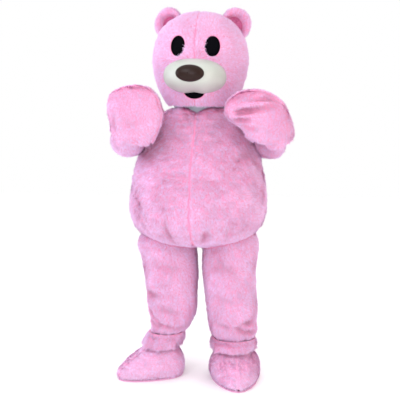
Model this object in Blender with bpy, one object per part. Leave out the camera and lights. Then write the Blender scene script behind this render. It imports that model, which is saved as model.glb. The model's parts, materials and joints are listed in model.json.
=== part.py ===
"""Bear mascot costume in short plush: a hollow jumpsuit with a round belly, mittens, boots and a shell head.

Metres, +Z up. The costume faces -Y, so the wearer's left is +X. It is shaped above a floor at
height 0 and then hung from an empty, which puts the origin where the wearer's shoulders hold it.
"""

import math
from collections import namedtuple

import bpy
import numpy as np

# Driving sizes
SHOULDER_HEIGHT = 1.36  # the hold point above the floor
PLUSH = 0.008  # backing and pile of the suit's cloth
HEAD_WALL = 0.012  # plush over the moulded foam of the head
LINING = 0.002
MUZZLE_WALL = 0.005
SEAM = 0.0003  # gap between two pieces that are sewn together
TINY = 0.0018  # half size of the last ring, where a tube closes

HEAD_PLACE = (-0.003, 0.0, 1.391)  # middle of the head's lower rim
HEAD_TILT = 1.5  # degrees, towards the wearer's left
JOIN = 0.0005  # gap where a sleeve, leg, muzzle or ear ends on another piece's outside
NOZZLE = 0.02  # how far a guide runs past what it cuts

Section = namedtuple("Section", "x y z half_width front back")
Crease = namedtuple("Crease", "start end width depth")
Cloth = namedtuple("Cloth", "outer inner")
Opening = namedtuple("Opening", "x z half_width half_height")

# Torso, from the neckline down to the crotch
TORSO = (
    Section(0, 0.000, 1.384, 0.132, 0.122, 0.116),
    Section(0, 0.000, 1.377, 0.160, 0.142, 0.134),
    Section(0, 0.000, 1.357, 0.203, 0.164, 0.150),
    Section(0, 0.000, 1.310, 0.246, 0.190, 0.170),
    Section(0, 0.000, 1.225, 0.286, 0.228, 0.195),
    Section(-0.005, -0.005, 1.120, 0.320, 0.272, 0.218),
    Section(-0.007, -0.010, 1.010, 0.343, 0.308, 0.240),
    Section(-0.008, -0.010, 0.920, 0.352, 0.322, 0.254),
    Section(-0.009, -0.010, 0.840, 0.346, 0.314, 0.252),
    Section(-0.010, -0.005, 0.775, 0.318, 0.280, 0.234),
    Section(-0.008, 0.000, 0.728, 0.260, 0.224, 0.196),
    Section(-0.004, 0.000, 0.697, 0.172, 0.150, 0.135),
    Section(0, 0.000, 0.683, 0.080, 0.072, 0.066),
    Section(0, 0.000, 0.680, TINY, TINY, TINY),
)
TORSO_ROWS = 17
TORSO_COLUMNS = 36
NECK_DIP = 0.023  # how far the neckline drops at the centre front
NECK_DIP_WIDTH = 0.055

# Legs, from inside the torso down to the elastic at the ankle
LEG_LEFT = (
    Section(0.135, 0.000, 0.840, 0.070, 0.070, 0.070),
    Section(0.148, 0.000, 0.770, 0.128, 0.118, 0.122),
    Section(0.158, 0.000, 0.700, 0.146, 0.134, 0.138),
    Section(0.154, -0.002, 0.620, 0.144, 0.134, 0.136),
    Section(0.153, -0.005, 0.536, 0.140, 0.130, 0.132),
    Section(0.159, -0.008, 0.450, 0.136, 0.126, 0.126),
    Section(0.167, -0.008, 0.364, 0.135, 0.122, 0.122),
    Section(0.172, -0.004, 0.290, 0.132, 0.116, 0.118),
    Section(0.175, 0.000, 0.240, 0.127, 0.112, 0.112),
    Section(0.177, 0.000, 0.211, 0.112, 0.098, 0.098),
)
LEG_RIGHT = (
    Section(-0.140, 0.000, 0.840, 0.070, 0.070, 0.070),
    Section(-0.158, 0.000, 0.770, 0.130, 0.118, 0.122),
    Section(-0.170, 0.000, 0.700, 0.156, 0.136, 0.140),
    Section(-0.158, -0.002, 0.620, 0.149, 0.134, 0.136),
    Section(-0.149, -0.006, 0.536, 0.143, 0.130, 0.132),
    Section(-0.144, -0.012, 0.450, 0.137, 0.126, 0.126),
    Section(-0.143, -0.014, 0.364, 0.132, 0.120, 0.120),
    Section(-0.149, -0.008, 0.300, 0.119, 0.110, 0.112),
    Section(-0.160, 0.000, 0.255, 0.106, 0.102, 0.104),
    Section(-0.172, 0.004, 0.229, 0.094, 0.092, 0.094),
)
LEG_ROWS = 12
LEG_COLUMNS = 20

# Gathered hem below each elastic, from the elastic to the edge
CUFF_LEFT = (
    Section(0.177, 0.000, 0.2105, 0.114, 0.100, 0.100),
    Section(0.176, -0.006, 0.186, 0.121, 0.116, 0.112),
    Section(0.175, -0.010, 0.158, 0.118, 0.122, 0.112),
)
CUFF_RIGHT = (
    Section(-0.173, 0.004, 0.2285, 0.096, 0.094, 0.096),
    Section(-0.186, 0.000, 0.198, 0.106, 0.108, 0.106),
    Section(-0.200, -0.004, 0.160, 0.106, 0.116, 0.112),
)
CUFF_ROWS = 3
CUFF_COLUMNS = 32
CUFF_WAVES = 8
CUFF_WAVE = 0.0035

# Boots, from the shaft inside the leg's hem down to the sole; x and y are in the boot's own frame
BOOT = (
    Section(0, 0.000, 0.204, 0.078, 0.076, 0.074),
    Section(0, 0.000, 0.184, 0.080, 0.080, 0.076),
    Section(0, 0.000, 0.162, 0.086, 0.090, 0.080),
    Section(0, 0.000, 0.140, 0.100, 0.118, 0.090),
    Section(0, 0.000, 0.108, 0.122, 0.176, 0.106),
    Section(0, 0.000, 0.078, 0.133, 0.224, 0.114),
    Section(0, 0.000, 0.045, 0.137, 0.256, 0.118),
    Section(0, 0.000, 0.020, 0.133, 0.262, 0.116),
    Section(0, 0.000, 0.0073, 0.126, 0.252, 0.110),
)
BOOT_ROWS = 9
BOOT_COLUMNS = 20
BOOT_POINT = 1.75  # under 2 draws the toe to a point
SOLE = 0.007
SOLE_INSET = 0.002
BOOT_LEFT_PLACE = (0.179, 0.0099)
BOOT_LEFT_TURN = 10.0  # degrees out from straight ahead
BOOT_RIGHT_PLACE = (-0.203, 0.006)
BOOT_RIGHT_TURN = -52.0

# Sleeves, from inside the torso to the wrist
SLEEVE_RIGHT = (
    Section(-0.130, 0.022, 1.268, 0.060, 0.055, 0.055),
    Section(-0.200, 0.020, 1.272, 0.092, 0.088, 0.088),
    Section(-0.270, 0.005, 1.262, 0.098, 0.094, 0.090),
    Section(-0.322, -0.045, 1.240, 0.096, 0.092, 0.084),
    Section(-0.340, -0.120, 1.226, 0.090, 0.086, 0.078),
    Section(-0.324, -0.190, 1.226, 0.086, 0.078, 0.0785),
    Section(-0.300, -0.240, 1.250, 0.080, 0.058, 0.065),
    Section(-0.286, -0.264, 1.290, 0.076, 0.048, 0.055),
)
SLEEVE_LEFT = (
    Section(0.130, 0.036, 1.290, 0.060, 0.055, 0.055),
    Section(0.200, 0.036, 1.282, 0.092, 0.088, 0.088),
    Section(0.266, 0.032, 1.256, 0.094, 0.090, 0.088),
    Section(0.318, 0.012, 1.222, 0.088, 0.082, 0.082),
    Section(0.353, -0.022, 1.197, 0.076, 0.072, 0.070),
    Section(0.383, -0.068, 1.190, 0.054, 0.052, 0.0531),
    Section(0.397, -0.108, 1.208, 0.046, 0.044, 0.0461),
    Section(0.396, -0.142, 1.240, 0.042, 0.040, 0.040),
)
SLEEVE_ROWS = 12
SLEEVE_COLUMNS = 16

# Mittens, from the loose cuff to the tip of the paw
MITTEN_RIGHT = (
    Section(-0.288, -0.256, 1.250, 0.116, 0.078, 0.094),
    Section(-0.276, -0.280, 1.290, 0.126, 0.080, 0.096),
    Section(-0.266, -0.300, 1.340, 0.139, 0.076, 0.092),
    Section(-0.257, -0.314, 1.395, 0.136, 0.068, 0.084),
    Section(-0.245, -0.322, 1.440, 0.110, 0.056, 0.070),
    Section(-0.239, -0.326, 1.470, 0.070, 0.040, 0.048),
    Section(-0.237, -0.328, 1.484, 0.032, 0.020, 0.024),
    Section(-0.236, -0.328, 1.488, TINY, TINY, TINY),
)
MITTEN_LEFT = (
    Section(0.404, -0.132, 1.226, 0.080, 0.080, 0.070),
    Section(0.385, -0.157, 1.268, 0.097, 0.088, 0.080),
    Section(0.350, -0.188, 1.309, 0.120, 0.092, 0.086),
    Section(0.300, -0.222, 1.352, 0.118, 0.088, 0.082),
    Section(0.245, -0.243, 1.368, 0.101, 0.078, 0.072),
    Section(0.195, -0.254, 1.366, 0.074, 0.060, 0.055),
    Section(0.160, -0.260, 1.362, 0.042, 0.036, 0.032),
    Section(0.144, -0.262, 1.360, TINY, TINY, TINY),
)
MITTEN_ROWS = 11
MITTEN_COLUMNS = 20
PALM_COLUMNS = 8  # of the mitten's columns, the rest are its back

# Head, from its lower rim to the crown; heights are above the rim
HEAD = (
    Section(0, 0, 0.000, 0.158, 0.166, 0.150),
    Section(0, 0, 0.018, 0.172, 0.180, 0.163),
    Section(0, 0, 0.045, 0.190, 0.195, 0.180),
    Section(0, 0, 0.080, 0.211, 0.208, 0.196),
    Section(0, 0, 0.130, 0.226, 0.218, 0.208),
    Section(0, 0, 0.180, 0.237, 0.224, 0.215),
    Section(0, 0, 0.235, 0.2415, 0.226, 0.218),
    Section(0, 0, 0.300, 0.234, 0.220, 0.213),
    Section(0, 0, 0.350, 0.215, 0.203, 0.199),
    Section(0, 0, 0.398, 0.179, 0.171, 0.168),
    Section(0, 0, 0.435, 0.130, 0.126, 0.124),
    Section(0, 0, 0.457, 0.078, 0.076, 0.075),
    Section(0, 0, 0.467, 0.034, 0.034, 0.034),
    Section(0, 0, 0.470, TINY, TINY, TINY),
)
HEAD_ROWS = 15
HEAD_COLUMNS = 32
CHIN_DIP = 0.004  # the rim's front hangs lower than its sides
EYE = Opening(0.082, 0.277, 0.036, 0.049)
MOUTH = Opening(0.000, 0.066, 0.050, 0.034)
MESH_STEP = 0.0004  # from the wall's inside to the net behind an opening
MESH_INSET = 0.012  # keeps the two eyes' nets apart at the middle

# Muzzle and nose, in the head's frame
MUZZLE_CENTRE = (0.0, -0.158, 0.137)
MUZZLE_HALF = (0.149, 0.196, 0.083)  # to the side, forward and up
MUZZLE_ROWS = 6
MUZZLE_COLUMNS = 24
MUZZLE_FULLNESS = 2.3
CHEEK_NOTCH = 0.008  # between the two lobes of its lower edge
CHEEK_NOTCH_WIDTH = 0.030
NOSE_CENTRE = (0.0, -0.340, 0.141)
NOSE_HALF = (0.066, 0.030, 0.039)

# Ears, in the head's frame: a thick lip round a deep cup of darker plush
EAR_CENTRE = (0.169, 0.018, 0.409)
EAR_OUT = 24.0  # degrees that the cup looks outwards
EarRing = namedtuple("EarRing", "radius depth shift")
EAR_BACK = (
    EarRing(0.038, -0.006, 0.012),
    EarRing(0.050, -0.021, 0.009),
    EarRing(0.064, -0.026, 0.004),
    EarRing(0.077, -0.016, 0.000),
    EarRing(0.081, 0.002, 0.000),
    EarRing(0.073, 0.022, 0.000),
    EarRing(0.050, 0.036, 0.000),
    EarRing(0.024, 0.042, 0.000),
    EarRing(TINY, 0.044, 0.000),
)
EAR_FRONT = (
    EarRing(0.0385, -0.0035, 0.012),
    EarRing(0.030, 0.008, 0.012),
    EarRing(0.016, 0.016, 0.012),
    EarRing(TINY, 0.018, 0.012),
)
EAR_WALL = 0.007
EAR_LINING = 0.002
EAR_COLUMNS = 16

# Pale flap inside the neck, from the head's wall down into the suit
NECK_FLAP = (
    Section(-0.002, 0.000, 1.407, 0.1516, 0.1590, 0.1445),
    Section(-0.002, 0.000, 1.389, 0.1280, 0.1200, 0.1130),
    Section(0.000, 0.000, 1.372, 0.1255, 0.1155, 0.1095),
    Section(0.000, 0.000, 1.346, 0.1300, 0.1200, 0.1120),
)
FLAP_ROWS = 4
FLAP_COLUMNS = 24

# Largest folds, as troughs along a line, in the floor's frame
LEG_LEFT_CREASES = (
    Crease((0.215, -0.140, 0.262), (0.300, -0.060, 0.272), 0.016, 0.009),
    Crease((0.190, -0.135, 0.236), (0.290, -0.080, 0.240), 0.012, 0.007),
    Crease((0.060, 0.090, 0.300), (0.200, 0.130, 0.270), 0.016, 0.007),
    Crease((0.100, 0.120, 0.500), (0.240, 0.110, 0.470), 0.020, 0.006),
)
LEG_RIGHT_CREASES = (
    Crease((-0.262, -0.040, 0.318), (-0.130, -0.130, 0.262), 0.017, 0.010),
    Crease((-0.262, -0.030, 0.286), (-0.150, -0.115, 0.244), 0.012, 0.007),
    Crease((-0.230, 0.110, 0.300), (-0.110, 0.100, 0.280), 0.016, 0.007),
    Crease((-0.230, 0.120, 0.480), (-0.100, 0.130, 0.500), 0.020, 0.006),
)
SLEEVE_LEFT_CREASES = (
    Crease((0.300, -0.090, 1.300), (0.260, 0.020, 1.340), 0.020, 0.009),
    Crease((0.330, -0.040, 1.140), (0.400, 0.000, 1.170), 0.018, 0.006),
)
SLEEVE_RIGHT_CREASES = (
    Crease((-0.300, -0.110, 1.310), (-0.260, 0.010, 1.350), 0.020, 0.009),
    Crease((-0.330, -0.060, 1.150), (-0.400, -0.030, 1.180), 0.018, 0.006),
)
MITTEN_LEFT_CREASES = (
    Crease((0.205, -0.322, 1.366), (0.335, -0.285, 1.400), 0.013, 0.014),
    Crease((0.190, -0.312, 1.330), (0.250, -0.306, 1.334), 0.011, 0.009),
    Crease((0.300, -0.280, 1.432), (0.385, -0.240, 1.424), 0.012, 0.008),
    Crease((0.390, -0.090, 1.330), (0.400, -0.110, 1.400), 0.018, 0.006),
)
MITTEN_RIGHT_CREASES = (
    Crease((-0.360, -0.330, 1.280), (-0.350, -0.350, 1.360), 0.014, 0.005),
    Crease((-0.300, -0.210, 1.330), (-0.200, -0.220, 1.350), 0.020, 0.007),
)
TORSO_CREASES = (
    Crease((-0.300, -0.120, 1.190), (-0.200, -0.210, 1.150), 0.022, 0.006),
    Crease((0.300, -0.120, 1.180), (0.205, -0.210, 1.140), 0.022, 0.006),
    Crease((-0.150, -0.250, 0.800), (-0.110, -0.170, 0.715), 0.014, 0.008),
    Crease((0.120, -0.260, 0.800), (0.085, -0.170, 0.715), 0.014, 0.008),
    Crease((-0.140, 0.225, 0.800), (-0.100, 0.150, 0.720), 0.016, 0.007),
    Crease((0.140, 0.225, 0.800), (0.100, 0.150, 0.720), 0.016, 0.007),
)

PINK = (0.86, 0.47, 0.66)
DEEP_PINK = (0.78, 0.24, 0.40)
CREAM = (0.86, 0.86, 0.76)
BROWN = (0.10, 0.035, 0.022)
BLACK = (0.008, 0.008, 0.012)
PALE = (0.62, 0.66, 0.70)


# Points on rings and along tables


def unit(vectors):
    """Each vector at length 1."""
    length = np.linalg.norm(vectors, axis=-1, keepdims=True)
    return vectors / np.maximum(length, 1e-12)


def smooth_rows(table, count):
    """The table's numbers at evenly spaced places of a smooth curve through its rows."""
    knots = np.array(table, float)
    shape = knots.copy()
    shape[:, 3:] *= 0.8
    steps = np.linalg.norm(np.diff(shape, axis=0), axis=1)
    place = np.concatenate([[0.0], np.cumsum(steps)])
    slope = np.gradient(knots, place, axis=0, edge_order=1)
    wanted = np.linspace(0.0, place[-1], count)
    index = np.clip(np.searchsorted(place, wanted, side="right") - 1, 0, len(place) - 2)
    span = (place[index + 1] - place[index])[:, None]
    t = ((wanted - place[index]) / span[:, 0])[:, None]
    start, end = knots[index], knots[index + 1]
    out, into = slope[index] * span, slope[index + 1] * span
    return (
        start * (2 * t**3 - 3 * t**2 + 1)
        + out * (t**3 - 2 * t**2 + t)
        + end * (3 * t**2 - 2 * t**3)
        + into * (t**3 - t**2)
    )


def signed_power(value, power):
    return np.sign(value) * np.abs(value) ** power


def ring_grid(table, rows, columns, along_path=False, front_point=2.0, fullness=2.0, facing=(0, -1, 0)):
    """Rings of points through a table of sections. Column 0 is the front, and columns run to the wearer's left.

    The rings are level, or square to the path through the section centres.
    """
    sections = smooth_rows(table, rows)
    centres = sections[:, :3]
    if along_path:
        tangent = unit(np.gradient(centres, axis=0))
        front = np.array(facing, float) - tangent * (tangent @ np.array(facing, float))[:, None]
        front = unit(front)
        side = np.cross(front, tangent)
    else:
        front = np.tile([0.0, -1.0, 0.0], (rows, 1))
        side = np.tile([1.0, 0.0, 0.0], (rows, 1))
    angle = np.arange(columns) * 2 * math.pi / columns
    power = np.where(np.cos(angle) > 0, 2.0 / front_point, 2.0 / fullness)
    across = signed_power(np.sin(angle), power)
    ahead = signed_power(np.cos(angle), power)
    depth = np.where(ahead > 0, sections[:, 4:5], sections[:, 5:6])
    return (
        centres[:, None, :]
        + side[:, None, :] * (sections[:, 3:4] * across)[..., None]
        + front[:, None, :] * (depth * ahead)[..., None]
    )


def outward(grid):
    """Unit normals of a ring grid, pointing away from the tube's middle."""
    around = np.roll(grid, -1, axis=1) - np.roll(grid, 1, axis=1)
    along = np.gradient(grid, axis=0)
    normal = unit(np.cross(around, along))
    middle = grid.mean(axis=1, keepdims=True)
    if np.sum(normal * (grid - middle)) < 0:
        normal = -normal
    return normal


def creased(grid, creases):
    """The grid with each crease pressed in as a soft trough."""
    normal = outward(grid)
    depth = np.zeros(grid.shape[:2])
    for crease in creases:
        start, end = np.array(crease.start), np.array(crease.end)
        run = end - start
        share = np.clip((grid - start) @ run / (run @ run), 0.0, 1.0)
        away = np.linalg.norm(grid - (start + share[..., None] * run), axis=-1)
        taper = 1.0 - 0.5 * (2 * share - 1) ** 2
        depth += crease.depth * taper * np.exp(-((away / crease.width) ** 2))
    return grid - normal * depth[..., None]


def cloth_of(grid, wall):
    """A ring grid with a second one inside it, a wall's thickness away."""
    normal = outward(grid)
    if np.ptp(grid[-1], axis=0).max() < 3 * TINY:
        normal[-1] = unit(normal[-1].mean(axis=0))
    return Cloth(grid, grid - normal * wall)


# Solids


def add_object(name, points, faces, colour, roughness, parent):
    """One closed mesh as a named object, turned so that its faces point out."""
    points = np.asarray(points, float)
    triangles = np.array([(f[0], f[i], f[i + 1]) for f in faces for i in range(1, len(f) - 1)])
    corner = points[triangles]
    volume = np.sum(corner[:, 0] * np.cross(corner[:, 1], corner[:, 2]))
    if volume < 0:
        faces = [tuple(reversed(f)) for f in faces]
    mesh = bpy.data.meshes.new(name)
    mesh.from_pydata(points.tolist(), [], [tuple(int(i) for i in f) for f in faces])
    mesh.update()
    mesh.shade_smooth()
    mesh.set_sharp_from_angle(angle=math.radians(50))
    made = bpy.data.objects.new(name, mesh)
    bpy.context.scene.collection.objects.link(made)
    made.parent = parent
    if colour is not None:
        made.data.materials.append(finish(colour, roughness))
    return made


def finish(colour, roughness):
    """The plain material of one colour, made once."""
    name = "finish_" + "_".join(f"{round(c * 1000):03d}" for c in colour)
    made = bpy.data.materials.get(name)
    if made is None:
        made = bpy.data.materials.new(name)
        made.use_nodes = True
        surface = made.node_tree.nodes["Principled BSDF"]
        surface.inputs["Base Color"].default_value = (*colour, 1.0)
        surface.inputs["Roughness"].default_value = roughness
        surface.inputs["Metallic"].default_value = 0.0
    return made


def wall_mesh(outer, inner, closed):
    """Points and faces of a wall between two grids, with its edges filled in."""
    rows, columns = outer.shape[:2]
    count = rows * columns
    points = np.concatenate([outer.reshape(-1, 3), inner.reshape(-1, 3)])
    last = columns if closed else columns - 1
    faces = []
    for i in range(rows - 1):
        for j in range(last):
            k = (j + 1) % columns
            a, b, c, d = i * columns + j, i * columns + k, (i + 1) * columns + k, (i + 1) * columns + j
            faces.append((a, b, c, d))
            faces.append((count + d, count + c, count + b, count + a))
    for j in range(last):
        k = (j + 1) % columns
        low = (rows - 1) * columns
        faces.append((k, j, count + j, count + k))
        faces.append((low + j, low + k, count + low + k, count + low + j))
    if not closed:
        for i in range(rows - 1):
            a, b = i * columns, (i + 1) * columns
            faces += [(a, b, count + b), (a, count + b, count + a)]
            a, b = a + columns - 1, b + columns - 1
            faces += [(a, count + b, b), (a, count + a, count + b)]
    return points, faces


def pulled_in(grid, first, last):
    """The grid with its first and last columns moved towards their neighbours, to leave a seam."""
    moved = grid.copy()
    for edge, beside, wanted in ((0, 1, first), (-1, -2, last)):
        step = grid[:, beside] - grid[:, edge]
        room = 0.4 * np.linalg.norm(step, axis=-1)
        moved[:, edge] += unit(step) * np.minimum(wanted, room)[:, None]
    return moved


def panel(name, cloth, first, last, colour, parent, edges=(SEAM / 2, SEAM / 2), roughness=0.95):
    """A cut piece of a tube, from one column to another."""
    columns = [j % cloth.outer.shape[1] for j in range(first, last + 1)]
    outer = pulled_in(cloth.outer[:, columns], *edges)
    inner = pulled_in(cloth.inner[:, columns], *edges)
    return add_object(name, *wall_mesh(outer, inner, closed=False), colour, roughness, parent)


def tube(name, cloth, colour, parent, roughness=0.95):
    """A whole tube of cloth, open at both ends."""
    return add_object(name, *wall_mesh(cloth.outer, cloth.inner, closed=True), colour, roughness, parent)


def plug(name, grid, parent, cap_start=0.0, cap_end=0.0):
    """A guide that fills a ring grid, with its end rings carried on past the ends. It isn't rendered."""
    rings = [ring for ring in grid]
    if cap_start:
        rings.insert(0, rings[0] + unit(rings[0].mean(axis=0) - rings[1].mean(axis=0)) * cap_start)
    if cap_end:
        rings.append(rings[-1] + unit(rings[-1].mean(axis=0) - rings[-2].mean(axis=0)) * cap_end)
    grid = np.array(rings)
    rows, columns = grid.shape[:2]
    points = np.concatenate([grid.reshape(-1, 3), [grid[0].mean(axis=0)], [grid[-1].mean(axis=0)]])
    faces = []
    for j in range(columns):
        k = (j + 1) % columns
        for i in range(rows - 1):
            faces.append((i * columns + j, i * columns + k, (i + 1) * columns + k, (i + 1) * columns + j))
        faces.append((rows * columns, k, j))
        faces.append((rows * columns + 1, (rows - 1) * columns + j, (rows - 1) * columns + k))
    made = add_object(name, points, faces, None, 0, parent)
    made.hide_render = True
    made.display_type = "WIRE"
    return made


def cut(target, cutter):
    """Takes the cutter's shape out of the target."""
    modifier = target.modifiers.new(cutter.name, "BOOLEAN")
    modifier.operation = "DIFFERENCE"
    modifier.solver = "EXACT"
    modifier.object = cutter


def group(name, parent=None):
    made = bpy.data.objects.new(name, None)
    bpy.context.scene.collection.objects.link(made)
    made.parent = parent
    return made


# The suit


def torso_grid():
    grid = creased(ring_grid(TORSO, TORSO_ROWS, TORSO_COLUMNS), TORSO_CREASES)
    level = np.linspace(1.0, 0.0, 4)
    for row, share in enumerate(level):
        side = grid[row, :, 0] / NECK_DIP_WIDTH
        front = grid[row, :, 1] < 0
        grid[row, :, 2] -= NECK_DIP * share * np.where(front, np.exp(-(side**2)), 0.0)
    return grid


def build_torso(suit):
    """Two fronts and two backs round the belly, open at the neck, the armholes and the legs."""
    grid = torso_grid()
    cloth = cloth_of(grid, PLUSH)
    quarter = TORSO_COLUMNS // 4
    half = TORSO_COLUMNS // 2
    pieces = {
        "front_left": panel("front_left", cloth, 0, quarter, PINK, suit),
        "back_left": panel("back_left", cloth, quarter, half, PINK, suit),
        "back_right": panel("back_right", cloth, half, half + quarter, PINK, suit),
        "front_right": panel("front_right", cloth, half + quarter, TORSO_COLUMNS, PINK, suit),
    }
    return cloth, pieces


def build_limb(side, name, table, rows, columns, creases, splits, suit, torso, facing):
    """A sleeve or leg of two panels. It stops on the outside of the torso, which opens into it."""
    along_path = facing is not None
    grid = ring_grid(table, rows, columns, along_path=along_path, facing=facing or (0, -1, 0))
    cloth = cloth_of(creased(grid, creases), PLUSH)
    outside, pieces = torso
    body = plug(f"{name}_{side}_stop", outside.outer + outward(outside.outer) * JOIN, suit, cap_start=NOZZLE)
    hollow = plug(f"{name}_{side}_hollow", cloth.inner, suit)
    made = []
    for label, first, last in splits:
        made.append(panel(f"{name}_{side}_{label}", cloth, first, last, PINK, suit))
        cut(made[-1], body)
    for label in (f"front_{side}", f"back_{side}"):
        cut(pieces[label], hollow)
    return cloth


def build_legs(suit, torso):
    quarter, half = LEG_COLUMNS // 4, LEG_COLUMNS // 2
    splits = (("front", -quarter, quarter), ("back", quarter, half + quarter))
    for side, table, creases, cuff in (
        ("left", LEG_LEFT, LEG_LEFT_CREASES, CUFF_LEFT),
        ("right", LEG_RIGHT, LEG_RIGHT_CREASES, CUFF_RIGHT),
    ):
        build_limb(side, "leg", table, LEG_ROWS, LEG_COLUMNS, creases, splits, suit, torso, None)
        build_cuff(side, cuff, suit)


def build_cuff(side, table, suit):
    """The gathered hem that falls from the ankle's elastic over the boot."""
    grid = ring_grid(table, CUFF_ROWS, CUFF_COLUMNS)
    angle = np.arange(CUFF_COLUMNS) * 2 * math.pi / CUFF_COLUMNS
    fall = np.linspace(0.0, 1.0, CUFF_ROWS)[:, None]
    wave = CUFF_WAVE * fall * np.cos(CUFF_WAVES * angle)
    grid = grid + outward(grid) * wave[..., None]
    grid[..., 2] -= 0.6 * wave
    tube(f"leg_cuff_{side}", cloth_of(grid, PLUSH * 0.8), PINK, suit)


def build_sleeves(suit, torso):
    quarter, half = SLEEVE_COLUMNS // 4, SLEEVE_COLUMNS // 2
    splits = (("under", -quarter, quarter), ("upper", quarter, half + quarter))
    facing = (0.0, -0.45, -1.0)
    for side, table, creases in (
        ("left", SLEEVE_LEFT, SLEEVE_LEFT_CREASES),
        ("right", SLEEVE_RIGHT, SLEEVE_RIGHT_CREASES),
    ):
        build_limb(side, "sleeve", table, SLEEVE_ROWS, SLEEVE_COLUMNS, creases, splits, suit, torso, facing)


def build_mittens(suit):
    """A palm and a wider back, whose seam shows round the palm."""
    for side, table, creases in (
        ("left", MITTEN_LEFT, MITTEN_LEFT_CREASES),
        ("right", MITTEN_RIGHT, MITTEN_RIGHT_CREASES),
    ):
        grid = ring_grid(table, MITTEN_ROWS, MITTEN_COLUMNS, along_path=True)
        cloth = cloth_of(creased(grid, creases), PLUSH)
        edge = PALM_COLUMNS // 2
        panel(f"mitten_{side}_palm", cloth, -edge, edge, PINK, suit)
        panel(f"mitten_{side}_back", cloth, edge, MITTEN_COLUMNS - edge, PINK, suit)


def build_boots(suit):
    """An inner and an outer half, joined down the middle of the instep, on a flat sole."""
    for side, place, turn in (
        ("left", BOOT_LEFT_PLACE, BOOT_LEFT_TURN),
        ("right", BOOT_RIGHT_PLACE, BOOT_RIGHT_TURN),
    ):
        foot = group(f"boot_{side}", suit)
        foot.location = (*place, 0.0)
        foot.rotation_euler = (0.0, 0.0, math.radians(turn))
        grid = ring_grid(BOOT, BOOT_ROWS, BOOT_COLUMNS, front_point=BOOT_POINT)
        cloth = cloth_of(grid, PLUSH)
        half = BOOT_COLUMNS // 2
        inner, outer = ("right", "left") if side == "left" else ("left", "right")
        names = {inner: f"boot_{side}_inner", outer: f"boot_{side}_outer"}
        panel(names["left"], cloth, 0, half, PINK, foot)
        panel(names["right"], cloth, half, BOOT_COLUMNS, PINK, foot)
        build_sole(side, cloth.outer[-1], foot)


def build_sole(side, edge, foot):
    middle = edge.mean(axis=0)
    rim = edge + unit(middle - edge) * SOLE_INSET
    low, high = rim.copy(), rim.copy()
    low[:, 2], high[:, 2] = 0.0, SOLE
    count = len(rim)
    faces = [tuple(range(count)), tuple(range(2 * count - 1, count - 1, -1))]
    for j in range(count):
        k = (j + 1) % count
        faces.append((k, j, count + j, count + k))
    add_object(f"boot_{side}_sole", np.concatenate([low, high]), faces, PINK, 0.9, foot)


def build_neck_flap(suit):
    tube("neck_flap", cloth_of(ring_grid(NECK_FLAP, FLAP_ROWS, FLAP_COLUMNS), LINING), PALE, suit, 0.9)


# The head


def head_grid():
    grid = ring_grid(HEAD, HEAD_ROWS, HEAD_COLUMNS)
    for row, share in ((0, 1.0), (1, 0.35)):
        angle = np.arange(HEAD_COLUMNS) * 2 * math.pi / HEAD_COLUMNS
        grid[row, :, 2] -= CHIN_DIP * share * np.maximum(np.cos(angle), 0.0) ** 2
    return grid


def oval_cutter(name, opening, sign, parent):
    """A guide that runs forwards through the head's wall with an oval section."""
    angle = np.arange(24) * 2 * math.pi / 24
    rings = []
    for y in (-0.30, -0.05):
        x = sign * opening.x + opening.half_width * np.cos(angle)
        z = opening.z + opening.half_height * np.sin(angle)
        rings.append(np.stack([x, np.full(24, y), z], axis=1))
    return plug(name, np.array(rings), parent)


def net_patch(name, cloth, opening, sign, parent):
    """Black net behind an opening, made from the wall's own inner points."""
    inner = cloth.inner - outward(cloth.outer) * MESH_STEP
    margin = 0.012
    ahead = cloth.inner[:, :, 1] < -0.03
    near_x = np.abs(cloth.inner[:, :, 0] - sign * opening.x) < opening.half_width + margin
    near_z = np.abs(cloth.inner[:, :, 2] - opening.z) < opening.half_height + margin
    hit = ahead & near_x & near_z
    rows = np.where(hit.any(axis=1))[0]
    columns = np.arange(-HEAD_COLUMNS // 2, HEAD_COLUMNS // 2)
    used = [j for j in columns if hit[:, j % HEAD_COLUMNS].any()]
    rows = range(max(rows[0] - 1, 0), rows[-1] + 2)
    used = range(used[0] - 1, used[-1] + 2)
    ring = [j % HEAD_COLUMNS for j in used]
    sides = {1: (MESH_INSET, 0.0), -1: (0.0, MESH_INSET)}[sign]
    front = pulled_in(inner[np.ix_(list(rows), ring)], *sides)
    back = front - outward(cloth.outer)[np.ix_(list(rows), ring)] * LINING
    return add_object(name, *wall_mesh(front, back, closed=False), BLACK, 0.9, parent)


def build_head(tilted):
    """Four wedges of plush over a foam shell, cut out at the eyes and the mouth."""
    cloth = cloth_of(head_grid(), HEAD_WALL)
    quarter, half = HEAD_COLUMNS // 4, HEAD_COLUMNS // 2
    fronts = [
        panel("head_front_left", cloth, 0, quarter, PINK, tilted),
        panel("head_front_right", cloth, half + quarter, HEAD_COLUMNS, PINK, tilted),
    ]
    panel("head_back_left", cloth, quarter, half, PINK, tilted)
    panel("head_back_right", cloth, half, half + quarter, PINK, tilted)
    mouth = oval_cutter("mouth_hole", MOUTH, 1, tilted)
    for front, label, sign in ((fronts[0], "left", 1), (fronts[1], "right", -1)):
        cut(front, oval_cutter(f"eye_hole_{label}", EYE, sign, tilted))
        cut(front, mouth)
        net_patch(f"eye_net_{label}", cloth, EYE, sign, tilted)
    net_patch("mouth_net", cloth, MOUTH, 1, tilted)
    return cloth


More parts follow.
